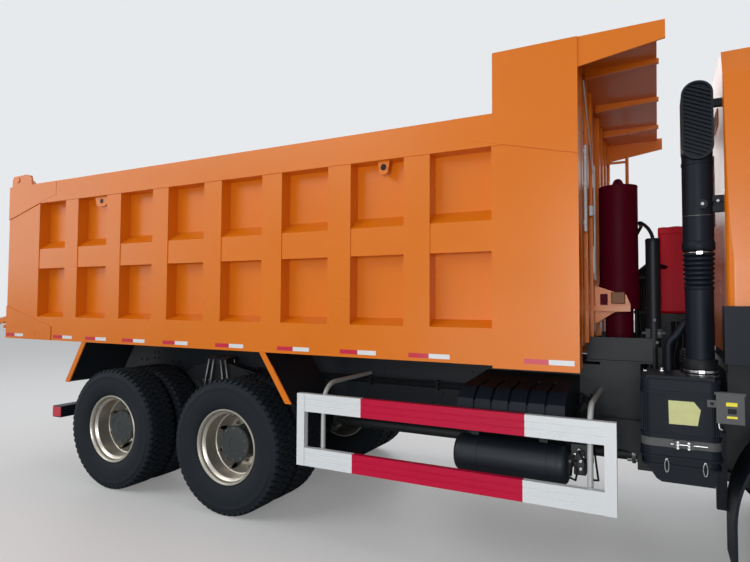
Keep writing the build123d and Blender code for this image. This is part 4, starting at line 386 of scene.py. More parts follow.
TREAD_PITCHES = 60
BLOCK_ROWS = (  # inner and outer share of the width, share of a pitch that is rubber, shift in pitches
    (0.3, 0.466, 0.6, 0.0),
    (0.16, 0.285, 0.78, 0.5),
    (0.02, 0.145, 0.78, 0.0),
)
TYRE_R, TYRE_W, GROOVE = 0.538, 0.3, 0.015
SIDEWALL = (  # (radius, share of the width) from the bead to the foot of the tread
    (0.2905, 0.36), (0.3028, 0.364), (0.3128, 0.41), (0.33, 0.447), (0.362, 0.474),
    (0.4, 0.498), (0.438, 0.498), (0.466, 0.489), (0.469, 0.4925), (0.476, 0.4925),
    (0.479, 0.484), (0.505, 0.47), (0.515, 0.452), (TYRE_R - GROOVE, 0.4), (TYRE_R - GROOVE, 0.1),
)
BLOCK_FACES = (
    (0, 1, 3, 2), (2, 3, 5, 4), (6, 8, 9, 7), (8, 10, 11, 9), (1, 7, 9, 3),
    (3, 9, 11, 5), (0, 6, 7, 1), (4, 5, 11, 10), (0, 2, 8, 6), (2, 4, 10, 8),
)


def turned(outline, n=96, closed=True):
    return Shape().lathe(outline, (0, 0, 0), (0, 1, 0), n, closed)


def tyre_shape():
    """Carcass with three rows of tread blocks on each half."""
    shape = turned([(r, -s * TYRE_W) for r, s in SIDEWALL] + [(r, s * TYRE_W) for r, s in reversed(SIDEWALL)])
    for inner, outer, fill, shift in BLOCK_ROWS:
        edge = outer > 0.4
        tops = (TYRE_R - 0.0005, TYRE_R - (0.003 if edge else 0.0005), 0.519 if edge else TYRE_R - 0.0005)
        lows = (TYRE_R - GROOVE - 0.004, TYRE_R - GROOVE - 0.006, 0.502 if edge else TYRE_R - GROOVE - 0.004)
        shares = (inner, (inner + 2 * outer) / 3, outer)
        for side in (-1, 1):
            for k in range(TREAD_PITCHES):
                verts = []
                for a in near(2 * math.pi * (k + shift) / TREAD_PITCHES, math.pi * fill / TREAD_PITCHES):
                    for share, *ends in zip(shares, lows, tops):
                        verts += [(math.sin(a) * r, side * share * TYRE_W, math.cos(a) * r) for r in ends]
                shape.add(verts, BLOCK_FACES)
    return shape


RIM_R, RIM_HALF = 0.29, 0.108
BARREL = (  # (radius beyond the rim's, distance beyond its half width), outside half from the flange inwards
    (0.0, 0.0022), (0.0115, 0.0028), (0.012, 0.01), (0.0085, 0.0138), (0.001, 0.0138), (-0.0075, 0.006),
    (-0.012, -0.006), (-0.0135, -0.022), (-0.03, -0.034), (-0.035, -0.04),
)
HAND_HOLES = 8


def barrel_shape():
    half = [(RIM_R + r, RIM_HALF + d) for r, d in BARREL]
    return turned(half + [(r, -d) for r, d in reversed(half)])


def bowl_shape(disc):
    """Wheel bowl, flat at the distance disc from the tyre's middle, with hand holes."""
    way = 1.0 if disc > 0 else -1.0
    root = way * (RIM_HALF - 0.05)
    t = way * 0.007
    bowl = turned([
        (0.06, disc - t), (0.186, disc - t), (0.204, disc - t * 0.4), (0.243, root - way * 0.01),
        (0.2535, root - way * 0.014), (0.255, root + way * 0.014), (0.249, root + way * 0.012),
        (0.213, disc + t * 1.6), (0.192, disc + t), (0.06, disc + t),
    ])
    holes = Shape()
    for c, s in circle(HAND_HOLES, 0.5):
        holes.bar(s * 0.2235, (min(root, disc) - 0.06, max(root, disc) + 0.06), c * 0.2235, 0.0245, 20)
    return Shape().take(cut(mesh_object("bowl", bowl.v, bowl.f), mesh_object("holes", holes.v, holes.f)))


def nuts(y, ring, r, height):
    """Ten nuts on washers, with their studs, on a ring about the axle."""
    out = Shape()
    for c, s in circle(10):
        x, z = s * ring, c * ring
        out.bar(x, (y - 0.002, y + 0.004), z, r * 1.3)
        out.bar(x, (y, y + height * 0.7), z, r, 6)
        out.bar(x, (y, y + height), z, r * 0.55, 10)
    return out


def make_wheel(name, body, rims, tyres, x, side, middles, discs, hub):
    """All pieces of one wheel body; middles and discs are distances from the truck's middle."""
    rubber, metal = shapes(2)
    for middle, disc in zip(middles, discs):
        rubber.join(TYRE_SHAPE.moved((0, middle, 0)))
        metal.join(BARREL_SHAPE.moved((0, middle, 0)))
        metal.join(BOWLS[round(disc - middle, 4)].moved((0, middle, 0)))
    face = max(discs)
    steel = nuts(face + 0.006, 0.1675, 0.0135, 0.03).join(nuts(hub["face"], hub["bolts"], 0.0075, 0.012))
    end = middles[-1] + RIM_HALF - 0.045
    a = math.radians(128.0)
    valve = ((0.215, face + 0.01), (0.222, (face + end) / 2), (0.236, end))
    stem = Shape().tube([(math.sin(a) * r, y, math.cos(a) * r) for r, y in valve], 0.0045, n=8)
    for shape, title, mat, smooth, stands_in in (
        (rubber, tyres + "_treaded", TYRE, 34, tyres),
        (metal, rims + "_turned", SILVER, 34, rims),
        (turned(hub["outline"], 64, False), name + "_hub", HUB, 34, None),
        (steel, name + "_nuts", STEEL_DARK, 34, None),
        (stem, name + "_valve", STEEL, 60, None),
    ):
        obj = shape.moved((x, 0, HUB_Z), side < 0).done(title, mat, body, smooth=smooth)
        if stands_in:
            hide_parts(stands_in)


def front_hub(y=1.011, d=1.136):
    """Outline (radius, distance) of the front hub, brake drum and cap."""
    return [
        (0.043, y - 0.029), (0.203, y - 0.029), (0.205, y - 0.024), (0.205, y + 0.02), (0.199, y + 0.03),
        (0.199, d - 0.028), (0.11, d - 0.02), (0.11, d + 0.024), (0.107, d + 0.028), (0.088, d + 0.03),
        (0.084, d + 0.034), (0.082, d + 0.058), (0.076, d + 0.064), (0.0, d + 0.065),
    ]


def rear_hub(mid=0.92):
    return [
        (0.043, 0.661), (0.203, 0.661), (0.205, 0.666), (0.205, mid - 0.06), (0.199, mid - 0.05),
        (0.199, mid - 0.031), (0.14, mid - 0.03), (0.14, mid + 0.03), (0.128, mid + 0.04), (0.126, mid + 0.15),
        (0.146, mid + 0.158), (0.148, mid + 0.164), (0.148, mid + 0.18), (0.144, mid + 0.185),
        (0.108, mid + 0.187), (0.06, mid + 0.189), (0.052, mid + 0.1895), (0.05, mid + 0.186),
        (0.0, mid + 0.186),
    ]


TYRE_SHAPE = tyre_shape()
BARREL_SHAPE = barrel_shape()
BOWLS = {round(d, 4): bowl_shape(d) for d in (0.125, 0.91 - 0.7475, 0.93 - 1.0925)}
FRONT_HUB = {"outline": front_hub(), "face": 1.164, "bolts": 0.098}
REAR_HUB = {"outline": rear_hub(), "face": 1.106, "bolts": 0.128}
for way, word in SIDES:
    front = f"front_{word}"
    make_wheel(
        front, f"front_wheel_{word}", front + "_rim", front + "_tyre",
        FRONT_AXLE, way, (1.011,), (1.136,), FRONT_HUB,
    )
    for row, axle in enumerate(REAR_AXLES, start=1):
        rear = f"rear_{row}_{word}"
        make_wheel(
            rear, f"rear_wheels_{row}_{word}", rear + "_rims", rear + "_tyres",
            axle, way, (0.7475, 1.0925), (0.91, 0.93), REAR_HUB,
        )


# Side guards: grooved beams, white at the ends and red between

GUARD_X = (REAR_AXLES[0] + 0.715, REAR_AXLES[0] + 2.878)
GUARD_Y = (1.196, 1.24)
GUARD_Z = (0.508, 1.03)
BEAM_H, POST_W = 0.13, 0.064
BEAM_ROWS = (  # bottom of the beam, then the rear and front ends of its red middle
    (GUARD_Z[1] - BEAM_H, REAR_AXLES[0] + 1.245, REAR_AXLES[0] + 2.369),
    (GUARD_Z[0], REAR_AXLES[0] + 1.178, REAR_AXLES[0] + 2.356),
)


def grooved(shape, x, low):
    """Beam along X with three ribs and two grooves on its outside."""
    y0, y1 = GUARD_Y
    groove = [(0.0, 0.3), (0.003, 0.315), (0.003, 0.36), (0.0, 0.375)]
    side = [(0.0, 0.0)] + groove + [(d, share + 0.325) for d, share in groove] + [(0.0, 1.0)]
    outline = [(y0, low)] + [(y1 - d, low + share * BEAM_H) for d, share in side] + [(y0, low + BEAM_H)]
    return shape.prism([(x[0], y, z) for y, z in outline], (x[1] - x[0], 0, 0))


def make_guards():
    white, red, grey = shapes(3)
    for low, start, end in BEAM_ROWS:
        grooved(white, (GUARD_X[0] + POST_W, start), low)
        grooved(white, (end, GUARD_X[1] - POST_W), low)
        grooved(red, (start, end), low)
    for x in (GUARD_X[0], GUARD_X[1] - POST_W):
        white.box((x, x + POST_W), (GUARD_Y[0], GUARD_Y[1] + 0.004), GUARD_Z)
    for x in (REAR_AXLES[0] + 0.9, REAR_AXLES[0] + 2.732):
        bend = [(x, 1.014 + 0.16 * s, 0.94 + 0.16 * c) for c, s in arc(0, 90, 8)]
        grey.tube([(x, 0.43, 1.1)] + bend + [(x, 1.174, GUARD_Z[0] + 0.03)], 0.017, n=16)
        for z in (GUARD_Z[1] - BEAM_H / 2, GUARD_Z[0] + BEAM_H / 2):
            grey.box(near(x, 0.035), (1.17, 1.197), near(z, 0.03))
            grey.bar(x, (1.19, 1.212), z, 0.01, 6)
    white.mirrored().done("guard_ends", WHITE)
    red.mirrored().done("guard_middles", GUARD_RED)
    tubes = grey.mirrored().done("guard_tubes", PALE_TUBE, smooth=50)
    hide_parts("side_guards")


make_guards()


# Reflective tape along the bed's lower rail, and the orange edges of the splash plates

TAPE_START = (-4.167, -3.401, -2.915, -2.408, -1.898, -1.305, -0.688, -0.139, 0.393, 1.153)
TAPE_L, TAPE_Z = 0.288, (1.337, 1.367)
SPLASH = (  # top X, bottom X and bottom Z of each plate
    (REAR_AXLES[0] + 0.375, REAR_AXLES[0] + 0.625, 0.94),
    (REAR_AXLES[1] - 0.39, REAR_AXLES[1] - 0.618, 0.925),
)


def make_tape():
    red, white = shapes(2)
    for x in TAPE_START:
        on_gusset = x < BED_REAR + 0.6 or x > BED_FRONT - 0.775
        y = BED_SIDE_Y + (0.008 if on_gusset else 0.0)
        mid = x + TAPE_L / 2
        red.box((x, mid), (y - 0.001, y + 0.0012), TAPE_Z)
        white.box((mid, x + TAPE_L), (y - 0.001, y + 0.0012), TAPE_Z)
    red.mirrored().done("tape_red", TAPE_RED, "bed")
    white.mirrored().done("tape_white", WHITE, "bed")


def make_splash_edges():
    edges = Shape()
    for top_x, low_x, low_z in SPLASH:
        back, front = -0.0225, 0.0345
        outline = ((top_x + back, 1.314), (top_x + front, 1.314), (low_x + front, low_z), (low_x + back, low_z))
        edges.prism([(x, 1.229, z) for x, z in outline], (0, 0.0115, 0))
    edges.mirrored().done("splash_edges", ORANGE, "bed")


make_tape()
make_splash_edges()


# Tandem axles: spring clamps and seats, torque rods, brake chambers and spring leaves


def u_bolt(shape, x, lean):
    """Round bar over the spring pack and down both of its sides."""
    y0, y1, top, low = 0.463, 0.59, 1.165, 0.9
    foot = x + lean
    points = [(foot, y0, low), (x, y0, top - 0.02), (x, y0 + 0.02, top)]
    points += [(x, y1 - 0.02, top), (x, y1, top - 0.02), (foot, y1, low)]
    shape.tube(points, 0.011, n=10)
    for y in (y0, y1):
        shape.bar(foot, y, (low + 0.035, low + 0.055), 0.019, 6)


def make_rear_clamps():
    bolts, dark = shapes(2)
    for x, lean in ((-1.998, -0.053), (-1.94, -0.043), (-1.853, 0.034), (-1.795, 0.042)):
        u_bolt(bolts, x, lean)
    for x in near(TANDEM_MID, 0.165):
        dark.box(near(x, 0.045), (0.455, 0.6), (0.89, 0.915))
    dark.box(near(TANDEM_MID, 0.13), (0.455, 0.6), (1.148, 1.164))
    # Axle seats of the springs, with their guide plates and bolts
    for axle in REAR_AXLES:
        for y in (0.47, 0.5725):
            dark.box(near(axle, 0.095), (y, y + 0.0075), (0.56, 0.76))
            for x in near(axle, 0.06):
                dark.bar(x, (y - 0.006, y + 0.014), 0.7, 0.012, 6)
    # Torque rods from the frame's hanger to each axle
    for axle, way in zip(REAR_AXLES, (1, -1)):
        ends = ((TANDEM_MID + way * 0.12, 0.69), (axle - way * 0.09, 0.45))
        dark.rod(*((x, 0.39, z) for x, z in ends), 0.026)
        for x, z in ends:
            dark.bar(x, (0.35, 0.43), z, 0.045, 20)
    bolts.mirrored().done("spring_clamps", STEEL_DARK, smooth=40)
    dark.mirrored().done("spring_seats", CHASSIS, smooth=40)


def make_leaves():
    """Thin leaves that stand out from the sides of each spring pack."""
    out = Shape()
    for i in range(9):
        z, half = 0.915 + i * 0.0215, 0.2 + 0.052 * i
        curve = [(TANDEM_MID + half * k / 8, z - 0.3 * (half * k / 8) ** 2) for k in range(-8, 9)]
        n = len(curve)
        loop = curve + [(x, h + 0.015) for x, h in reversed(curve)]
        sides = [(k, k + 1, 2 * n - 2 - k, 2 * n - 1 - k) for k in range(n - 1)]
        sides += [tuple(j + 2 * n for j in reversed(q)) for q in sides]
        out.add([(x, y, h) for y in (0.4785, 0.5715) for x, h in loop], sides + quads(2, 2 * n))
    out.mirrored().done("rear_spring_leaves", CHASSIS, smooth=30)


def brake_chamber(out, base, way, r=0.082):
    """Double brake pot with its clamp ring along a direction."""
    profile = (  # share of the radius, distance along the pot
        (0.0, 0.0), (0.8, 0.0), (0.95, 0.018), (1.0, 0.06), (1.1, 0.062), (1.1, 0.078), (1.0, 0.08),
        (0.97, 0.13), (1.02, 0.132), (1.02, 0.146), (0.92, 0.15), (0.88, 0.215), (0.6, 0.235), (0.0, 0.237),
    )
    out.lathe([(r * share, d) for share, d in profile], base, way, 32, False)


def make_rear_brakes():
    pots = Shape()
    for axle in REAR_AXLES:
        brake_chamber(pots, (axle - 0.17, 0.435, 0.64), (0.0, -0.25, 0.97))
        pots.box((axle - 0.2, axle - 0.06), (0.385, 0.44), (0.56, 0.645))
    pots.mirrored().done("rear_brake_pots", CHASSIS, smooth=40)


make_rear_clamps()
make_rear_brakes()
make_leaves()


# Air filter: ribs, strap, wire clips, blank label and the grey box beside it

FILTER_X = (FRONT_AXLE - 1.095, FRONT_AXLE - 0.72)
FILTER_Y = (-1.245, -0.86)
FACE = FILTER_Y[0]
FIELD_X = (1.905, 2.078)
CORNER_R = 0.05
DUCT_X, DUCT_Y = FRONT_AXLE - 0.798, -1.035


def rounded(x, y, r):
    """Points round a rectangle with rounded corners, starting in the middle of its -Y side."""
    (x0, x1), (y0, y1) = inset(x, r), inset(y, r)
    pts = [((x[0] + x[1]) / 2, y[0])]
    for cx, cy, start in ((x1, y0, -90), (x1, y1, 0), (x0, y1, 90), (x0, y0, 180)):
        pts += [(cx + r * c, cy + r * s) for c, s in arc(start, start + 90, 6)]
    return pts


def band(shape, path, z, out):
    """Closed belt of some thickness outside a path of (x, y) points."""
    n = len(path)
    cx, cy = (sum(p[k] for p in path) / n for k in (0, 1))
    section = ((-0.002, z[0]), (out, z[0]), (out, z[1]), (-0.002, z[1]))
    verts = []
    for i, (x, y) in enumerate(path):
        a, b = path[i - 1], path[(i + 1) % n]
        tx, ty = b[0] - a[0], b[1] - a[1]
        length = math.hypot(tx, ty) or 1.0
        nx, ny = ty / length, -tx / length
        if nx * (x - cx) + ny * (y - cy) < 0:
            nx, ny = -nx, -ny
        verts += [(x + nx * d, y + ny * d, h) for d, h in section]
    shape.add(verts, quads(n, 4, True))


def make_filter():
    dark, steel, strap = shapes(3)
    path = rounded(FILTER_X, FILTER_Y, CORNER_R)
    # Ribs round the housing between its strap and its shoulder
    z = (1.006, 1.214)
    first, last = FILTER_X[0] + 0.045, FILTER_X[1] - 0.045
    for k in range(26):
        x = first + k / 25 * (last - first)
        if not FIELD_X[0] < x < FIELD_X[1]:
            dark.box(near(x, 0.0028), (FACE - 0.005, FACE + 0.004), z)
    for k in range(9):
        y = FACE + 0.055 + k * 0.034
        for x, s in zip(FILTER_X, (-1, 1)):
            dark.box((x - s * 0.004, x + s * 0.0045), near(y, 0.003), z)
    for cx, way in zip(inset(FILTER_X, CORNER_R), (-1, 1)):
        for c, s in arc(15, 75, 4):
            dark.bar(cx + way * s * 0.052, FACE + CORNER_R - c * 0.052, z, 0.0035, 6)
    for low, high, out in (
        (1.218, 1.23, 0.007), (0.99, 1.001, 0.006), (0.872, 0.884, 0.01), (1.283, 1.2905, 0.004),
    ):
        band(dark, path, (low, high), out)
    band(dark, rounded(inset(FILTER_X, 0.01), inset(FILTER_Y, 0.01), 0.04), (0.826, 0.838), 0.012)
    dark.done("filter_ribs", PLASTIC, smooth=35)
    band(strap, path, (0.932, 0.975), 0.004)
    for x in near(1.985, 0.035):
        strap.box(near(x, 0.012), (FACE - 0.026, FACE), (0.934, 0.973))
    strap.done("filter_strap", GREY_BOX, smooth=35)
    steel.rod((1.925, FACE - 0.017, 0.953), (2.095, FACE - 0.017, 0.955), 0.0045, n=10)
    for x in (1.958, 2.009):
        for z in (0.938, 0.953, 0.968):
            steel.bar(x, (FACE - 0.034, FACE - 0.01), z, 0.0065, 8)
    for x in (1.905, 2.084):
        steel.tube([(x + 0.01 * s, FACE - 0.004, 0.832 + 0.034 * c) for c, s in arc(0, 360, 12)], 0.0022, n=6)
        steel.box(near(x, 0.005), (FACE - 0.003, FACE + 0.02), (0.866, 0.876))
    steel.done("filter_clips", STEEL, smooth=40)
    # Raised field with the blank label
    Shape().box(FIELD_X, (FACE - 0.004, FACE + 0.002), (1.045, 1.195)).done("filter_field", PLASTIC)
    outline = ((1.917, 1.182), (2.036, 1.182), (2.067, 1.142), (2.052, 1.058), (1.919, 1.057))
    Shape().prism([(x, FACE - 0.0052, z) for x, z in outline], (0, 0.0022, 0)).done("filter_label", LABEL)


def make_grey_box():
    y = (FACE - 0.02, FACE + 0.03)
    skin = (y[0] - 0.001, y[0] + 0.002)
    box = Shape().box((2.136, 2.259), y, (1.085, 1.238))
    box.box((2.129, 2.266), (y[0] + 0.006, y[1] - 0.012), (1.231, 1.243))
    box.box((2.096, 2.14), (FACE - 0.008, FACE + 0.002), (1.163, 1.2))
    box.box((2.14, 2.19), (FACE + 0.02, FACE + 0.12), (1.12, 1.18)).done("valve_box", GREY_BOX)
    bars = Shape().box((2.179, 2.228), skin, (1.176, 1.195)).box((2.182, 2.228), skin, (1.114, 1.125))
    bars.done("valve_box_bars", YELLOW)
    dark = Shape().box((2.186, 2.224), (y[0] - 0.0008, y[0] + 0.002), (1.137, 1.163))
    dark.bar(2.118, (FACE - 0.01, FACE - 0.004), 1.181, 0.009, 14).done("valve_box_window", RUBBER)
    hook = ((2.149, 0.01, 1.09), (2.146, 0.004, 1.072), (2.15, 0.002, 1.055), (2.162, 0.004, 1.052))
    hook = Shape().tube([(x, y[0] + out, z) for x, out, z in hook], 0.004, n=8)
    hook.done("valve_box_hook", STEEL, smooth=40)


def clamp(shape, z, r, h=0.012, screw=True):
    """Worm clamp round the upright duct."""
    inner, outer = r - 0.003, r + 0.0022
    profile = [(inner, z), (outer, z), (outer, z + h), (inner, z + h)]
    shape.lathe(profile, (DUCT_X, DUCT_Y, 0), n=48)
    if screw:
        shape.box(near(DUCT_X, 0.014), (DUCT_Y - r - 0.012, DUCT_Y - r), (z - 0.002, z + h + 0.002))
        shape.bar((DUCT_X - 0.022, DUCT_X + 0.018), DUCT_Y - r - 0.007, z + h / 2, 0.0045, 8)


def make_duct():
    """Sleeve under the lower duct, its clamps, the side pipe and the ribbed hose beside it."""
    sleeve, clamps, pipe, ribbed, fittings = shapes(5)
    profile = [
        (0.069, 1.292), (0.085, 1.292), (0.086, 1.3), (0.086, 1.318), (0.0815, 1.322), (0.0815, 1.338),
        (0.086, 1.342), (0.086, 1.388), (0.082, 1.394), (0.069, 1.394),
    ]
    sleeve.lathe(profile, (DUCT_X, DUCT_Y, 0), closed=False).done("duct_sleeve", RUBBER, smooth=40)
    clamp(clamps, 1.322, 0.0825)
    clamp(clamps, 1.298, 0.086, screw=False)
    clamp(clamps, 1.978, 0.0745, h=0.011)
    clamps.done("duct_clamps", STEEL, smooth=40)
    x, y = 1.925, -0.93
    points = [(x, y, 1.285)] + [(x + 0.08 * (1 - c), y, 1.44 + 0.08 * s) for c, s in arc(0, 58, 6)]
    end = Vector(points[-1]) + Vector((0.0495, 0, 0.0792))
    points += [tuple(end), (end.x + 0.055, y, end.z + 0.04), (DUCT_X - 0.02, -0.96, end.z + 0.055)]
    pipe.tube(points, 0.024, n=20)
    pipe.lathe([(0.02, 1.286), (0.033, 1.286), (0.033, 1.304), (0.02, 1.304)], (x, y, 0), n=28)
    pipe.done("filter_pipe", PLASTIC, smooth=40)
    profile = [(0.0, 1.28), (0.034, 1.28)]
    for k in range(7):
        z = 1.288 + 0.0205 * k
        profile += [(0.027, z), (0.036, z + 0.005), (0.036, z + 0.011), (0.027, z + 0.016)]
    profile += [(0.027, 1.436), (0.0, 1.44)]
    ribbed.lathe(profile, (2.018, -0.905, 0), n=32, closed=False).done("ribbed_hose", RUBBER, smooth=30)
    fittings.bar(1.889, -0.96, (1.29, 1.325), 0.011, 12).bar(1.889, -0.96, (1.3, 1.312), 0.017, 6)
    fittings.bar(2.075, -0.905, (1.29, 1.33), 0.008, 12).done("filter_fittings", STEEL, smooth=40)


def make_snorkel_details():
    """Brackets, boss, rings and clips of the upright inlet on the cab."""
    dark, steel = shapes(2)
    face = DUCT_Y - 0.078
    for z in (2.232, 2.29):
        dark.box((DUCT_X + 0.045, CAB_REAR + 0.001), (DUCT_Y - 0.034, DUCT_Y + 0.01), (z - 0.019, z + 0.014))
    dark.bar(DUCT_X + 0.018, (face + 0.02, face - 0.01), 2.252, 0.026, 24)
    place = (DUCT_X, DUCT_Y, 0)
    dark.lathe([(0.076, 2.48), (0.081, 2.484), (0.081, 2.5), (0.076, 2.504)], place)
    foot = [(0.074, 2.004), (0.081, 2.004), (0.083, 2.008), (0.083, 2.045), (0.079, 2.051)]
    dark.lathe(foot, place, closed=False)
    dark.done("snorkel_brackets", PLASTIC, "cab", smooth=40)
    steel.bar(DUCT_X + 0.018, (face - 0.008, face - 0.018), 2.252, 0.009, 6)
    steel.bar(DUCT_X + 0.095, (DUCT_Y - 0.034, DUCT_Y - 0.044), 2.272, 0.008, 6)
    r, clip = 0.0795, []
    for a in (math.radians(14 * k - 62) for k in range(9)):
        clip.append((DUCT_X + r * math.sin(a), DUCT_Y - r * math.cos(a), 2.196 - 0.004 * math.cos(a * 1.4)))
    steel.tube(clip, 0.0022, n=6).done("snorkel_bolts", STEEL_DARK, "cab", smooth=40)


make_filter()
make_grey_box()
make_duct()
make_snorkel_details()


# Hoist: cap, rings, the return pipe behind it and the can that the pipe leads to

CAN_X, CAN_Y = CAB_REAR - 0.358, -0.39


def make_hoist_details():
    cap, pipe, can, bits = shapes(4)
    profile = [(0.0, 2.6), (0.046, 2.6), (0.042, 2.612), (0.02, 2.64), (0.016, 2.663), (0.0, 2.6635)]
    cap.lathe(profile, (HOIST_X, 0, 0), n=32, closed=False)
    cap.lathe([(0.136, 2.585), (0.1392, 2.588), (0.1392, 2.596), (0.136, 2.599)], (HOIST_X, 0, 0))
    cap.done("hoist_cap", MAROON, "hoist_cover", smooth=35)
    x, y = CAN_X, CAN_Y
    pipe.tube([
        (x, y, 2.135), (x, y, 2.16), (1.838, y + 0.006, 2.19), (1.822, y + 0.018, 2.222),
        (1.8, y + 0.04, 2.25), (1.776, y + 0.07, 2.272), (1.764, -0.24, 2.284), (1.764, -0.12, 2.288),
        (1.768, 0.01, 2.286), (1.752, 0.09, 2.27), (1.726, 0.152, 2.23), (1.722, 0.162, 2.17),
        (1.722, 0.162, 1.9), (1.722, 0.166, 1.7), (1.722, 0.17, 1.56), (1.722, 0.172, 1.172),
    ], 0.012, n=14).done("return_pipe", RUBBER, smooth=50)
    lid = [(0.044, 2.12), (0.047, 2.122), (0.047, 2.141), (0.04, 2.15), (0.016, 2.152)]
    can.lathe(lid, (x, y, 0), n=40, closed=False)
    can.lathe([(0.044, 1.7), (0.047, 1.702), (0.047, 1.726), (0.044, 1.728)], (x, y, 0), n=40)
    can.lathe([(0.02, 1.405), (0.046, 1.405), (0.046, 1.702), (0.02, 1.702)], (x, y, 0), n=32)
    can.box(near(x, 0.05), near(y, 0.04), (1.47, 1.53)).done("oil_can_rings", CHASSIS, smooth=40)
    for z, dx in ((1.5, 0.032), (1.44, 0.02), (1.59, 0.005)):
        bits.bar(x + dx, (y - 0.03, y - 0.062), z, 0.011, 6)
    bits.bar(near(x, 0.07), y - 0.02, 1.5, 0.012, 12).done("oil_can_fittings", HUB, smooth=40, slot="steel")


# Hydraulic oil tank: lid, filler, level glass, and what hangs below it

OIL_X, OIL_Y, OIL_Z = (CAB_REAR - 0.32, CAB_REAR - 0.04), (0.65, 1.12), (1.62, 2.35)


def make_oil_tank():
    dark, steel = shapes(2)
    top, side = OIL_Z[1], OIL_Y[1]
    lid = Shape().box(inset(OIL_X, -0.004), inset(OIL_Y, -0.004), (top - 0.062, top + 0.004))
    bevel(lid.done("oil_tank_lid", RED), 0.014, 3)
    cx, cy = sum(OIL_X) / 2, sum(OIL_Y) / 2
    dark.bar(cx, cy + 0.13, (top + 0.002, top + 0.04), 0.045, 24)
    dark.bar(cx, cy + 0.13, (top + 0.024, top + 0.046), 0.052, 12)
    dark.box(near(cx, 0.016), (side - 0.001, side + 0.01), (1.76, 2.06))
    dark.done("oil_tank_filler", PLASTIC, smooth=40)
    for z in (1.775, 2.045):
        steel.bar(cx, (side, side + 0.016), z, 0.009, 8)
    steel.bar(cx, cy + 0.02, (top, top + 0.025), 0.018, 16)
    for x in near(cx, 0.1):
        for y in near(cy, 0.2):
            steel.bar(x, y, (top, top + 0.01), 0.01, 6)
    steel.done("oil_tank_fittings", STEEL, smooth=40)


def make_shield_flap():
    """Sloping lower edge of the dark shield beside the air filter."""
    outline = (
        (1.5, 0.91), (1.5, 0.86), (1.59, 0.712), (1.686, 0.701), (1.771, 0.665), (1.841, 0.56),
        (1.9, 0.56), (1.9, 0.91),
    )
    Shape().prism([(x, -0.474, z) for x, z in outline], (0, 0.008, 0)).done("shield_flap", CHASSIS)


def make_under_tank():
    """Dark support plate, hoses and a cable bundle below the oil tank."""
    lines, low = Shape(), OIL_Z[0]
    plate = Shape().box(inset(OIL_X, 0.01), (0.44, 0.452), (1.15, low - 0.002))
    plate.box((OIL_X[0] + 0.01, OIL_X[0] + 0.022), (0.452, 0.64), (1.15, low - 0.002))
    plate.done("oil_tank_plate", CHASSIS)
    for k in range(5):
        x = OIL_X[0] + 0.05 + 0.042 * k
        hose = [(x, 0.42, low - 0.01), (x + 0.01, 0.405, 1.4), (x - 0.015, 0.395, 1.26), (x, 0.4, 1.13)]
        lines.tube(hose, 0.014)
    bundle = (
        (0, 0, 1.17), (0.012, 0.01, 1.45), (-0.006, 0.015, 1.8), (0.016, 0.04, 1.96), (0.075, 0.16, 2.02),
        (0.15, 0.33, 2.01),
    )
    for k in range(6):
        x, y = 1.718 + 0.021 * k, 0.33 + 0.036 * (k % 3)
        lines.tube([(x + dx, y + dy, z) for dx, dy, z in bundle], 0.0155)
    for z in (1.3, 1.62, 1.9):
        lines.box((1.7, 1.85), (0.312, 0.43), (z, z + 0.024))
    lines.done("oil_tank_hoses", RUBBER, smooth=60)
    valve = Shape().box((1.79, 1.905), (0.31, 0.425), (1.15, 1.42)).box((1.76, 1.8), (0.33, 0.4), (1.18, 1.3))
    bevel(valve.done("hoist_valve", HUB), 0.006)


make_hoist_details()
make_oil_tank()
make_shield_flap()
make_under_tank()


# Bed: softened edges, outer ear plates, lug bores filled with painted shade, a painted shade on each arm and
# the hoist's bearings in painted-shade brown

for name, width in (
    ("bed_sides", 0.004), ("headboard", 0.003), ("canopy", 0.003), ("tailgate", 0.003), ("bed_floor", 0.002),
    ("splash_plates", 0.002), ("front_bumper", 0.008), ("cab_trim", 0.004), ("cab_steps", 0.006),
    ("front_mudguards", 0.003), ("battery_box", 0.005), ("oil_tank_stand", 0.003), ("exhaust", 0.003),
    ("frame_rails", 0.002), ("subframe", 0.003), ("rear_guard", 0.005),
):
    bevel(nodes[name], width, 2, 35)


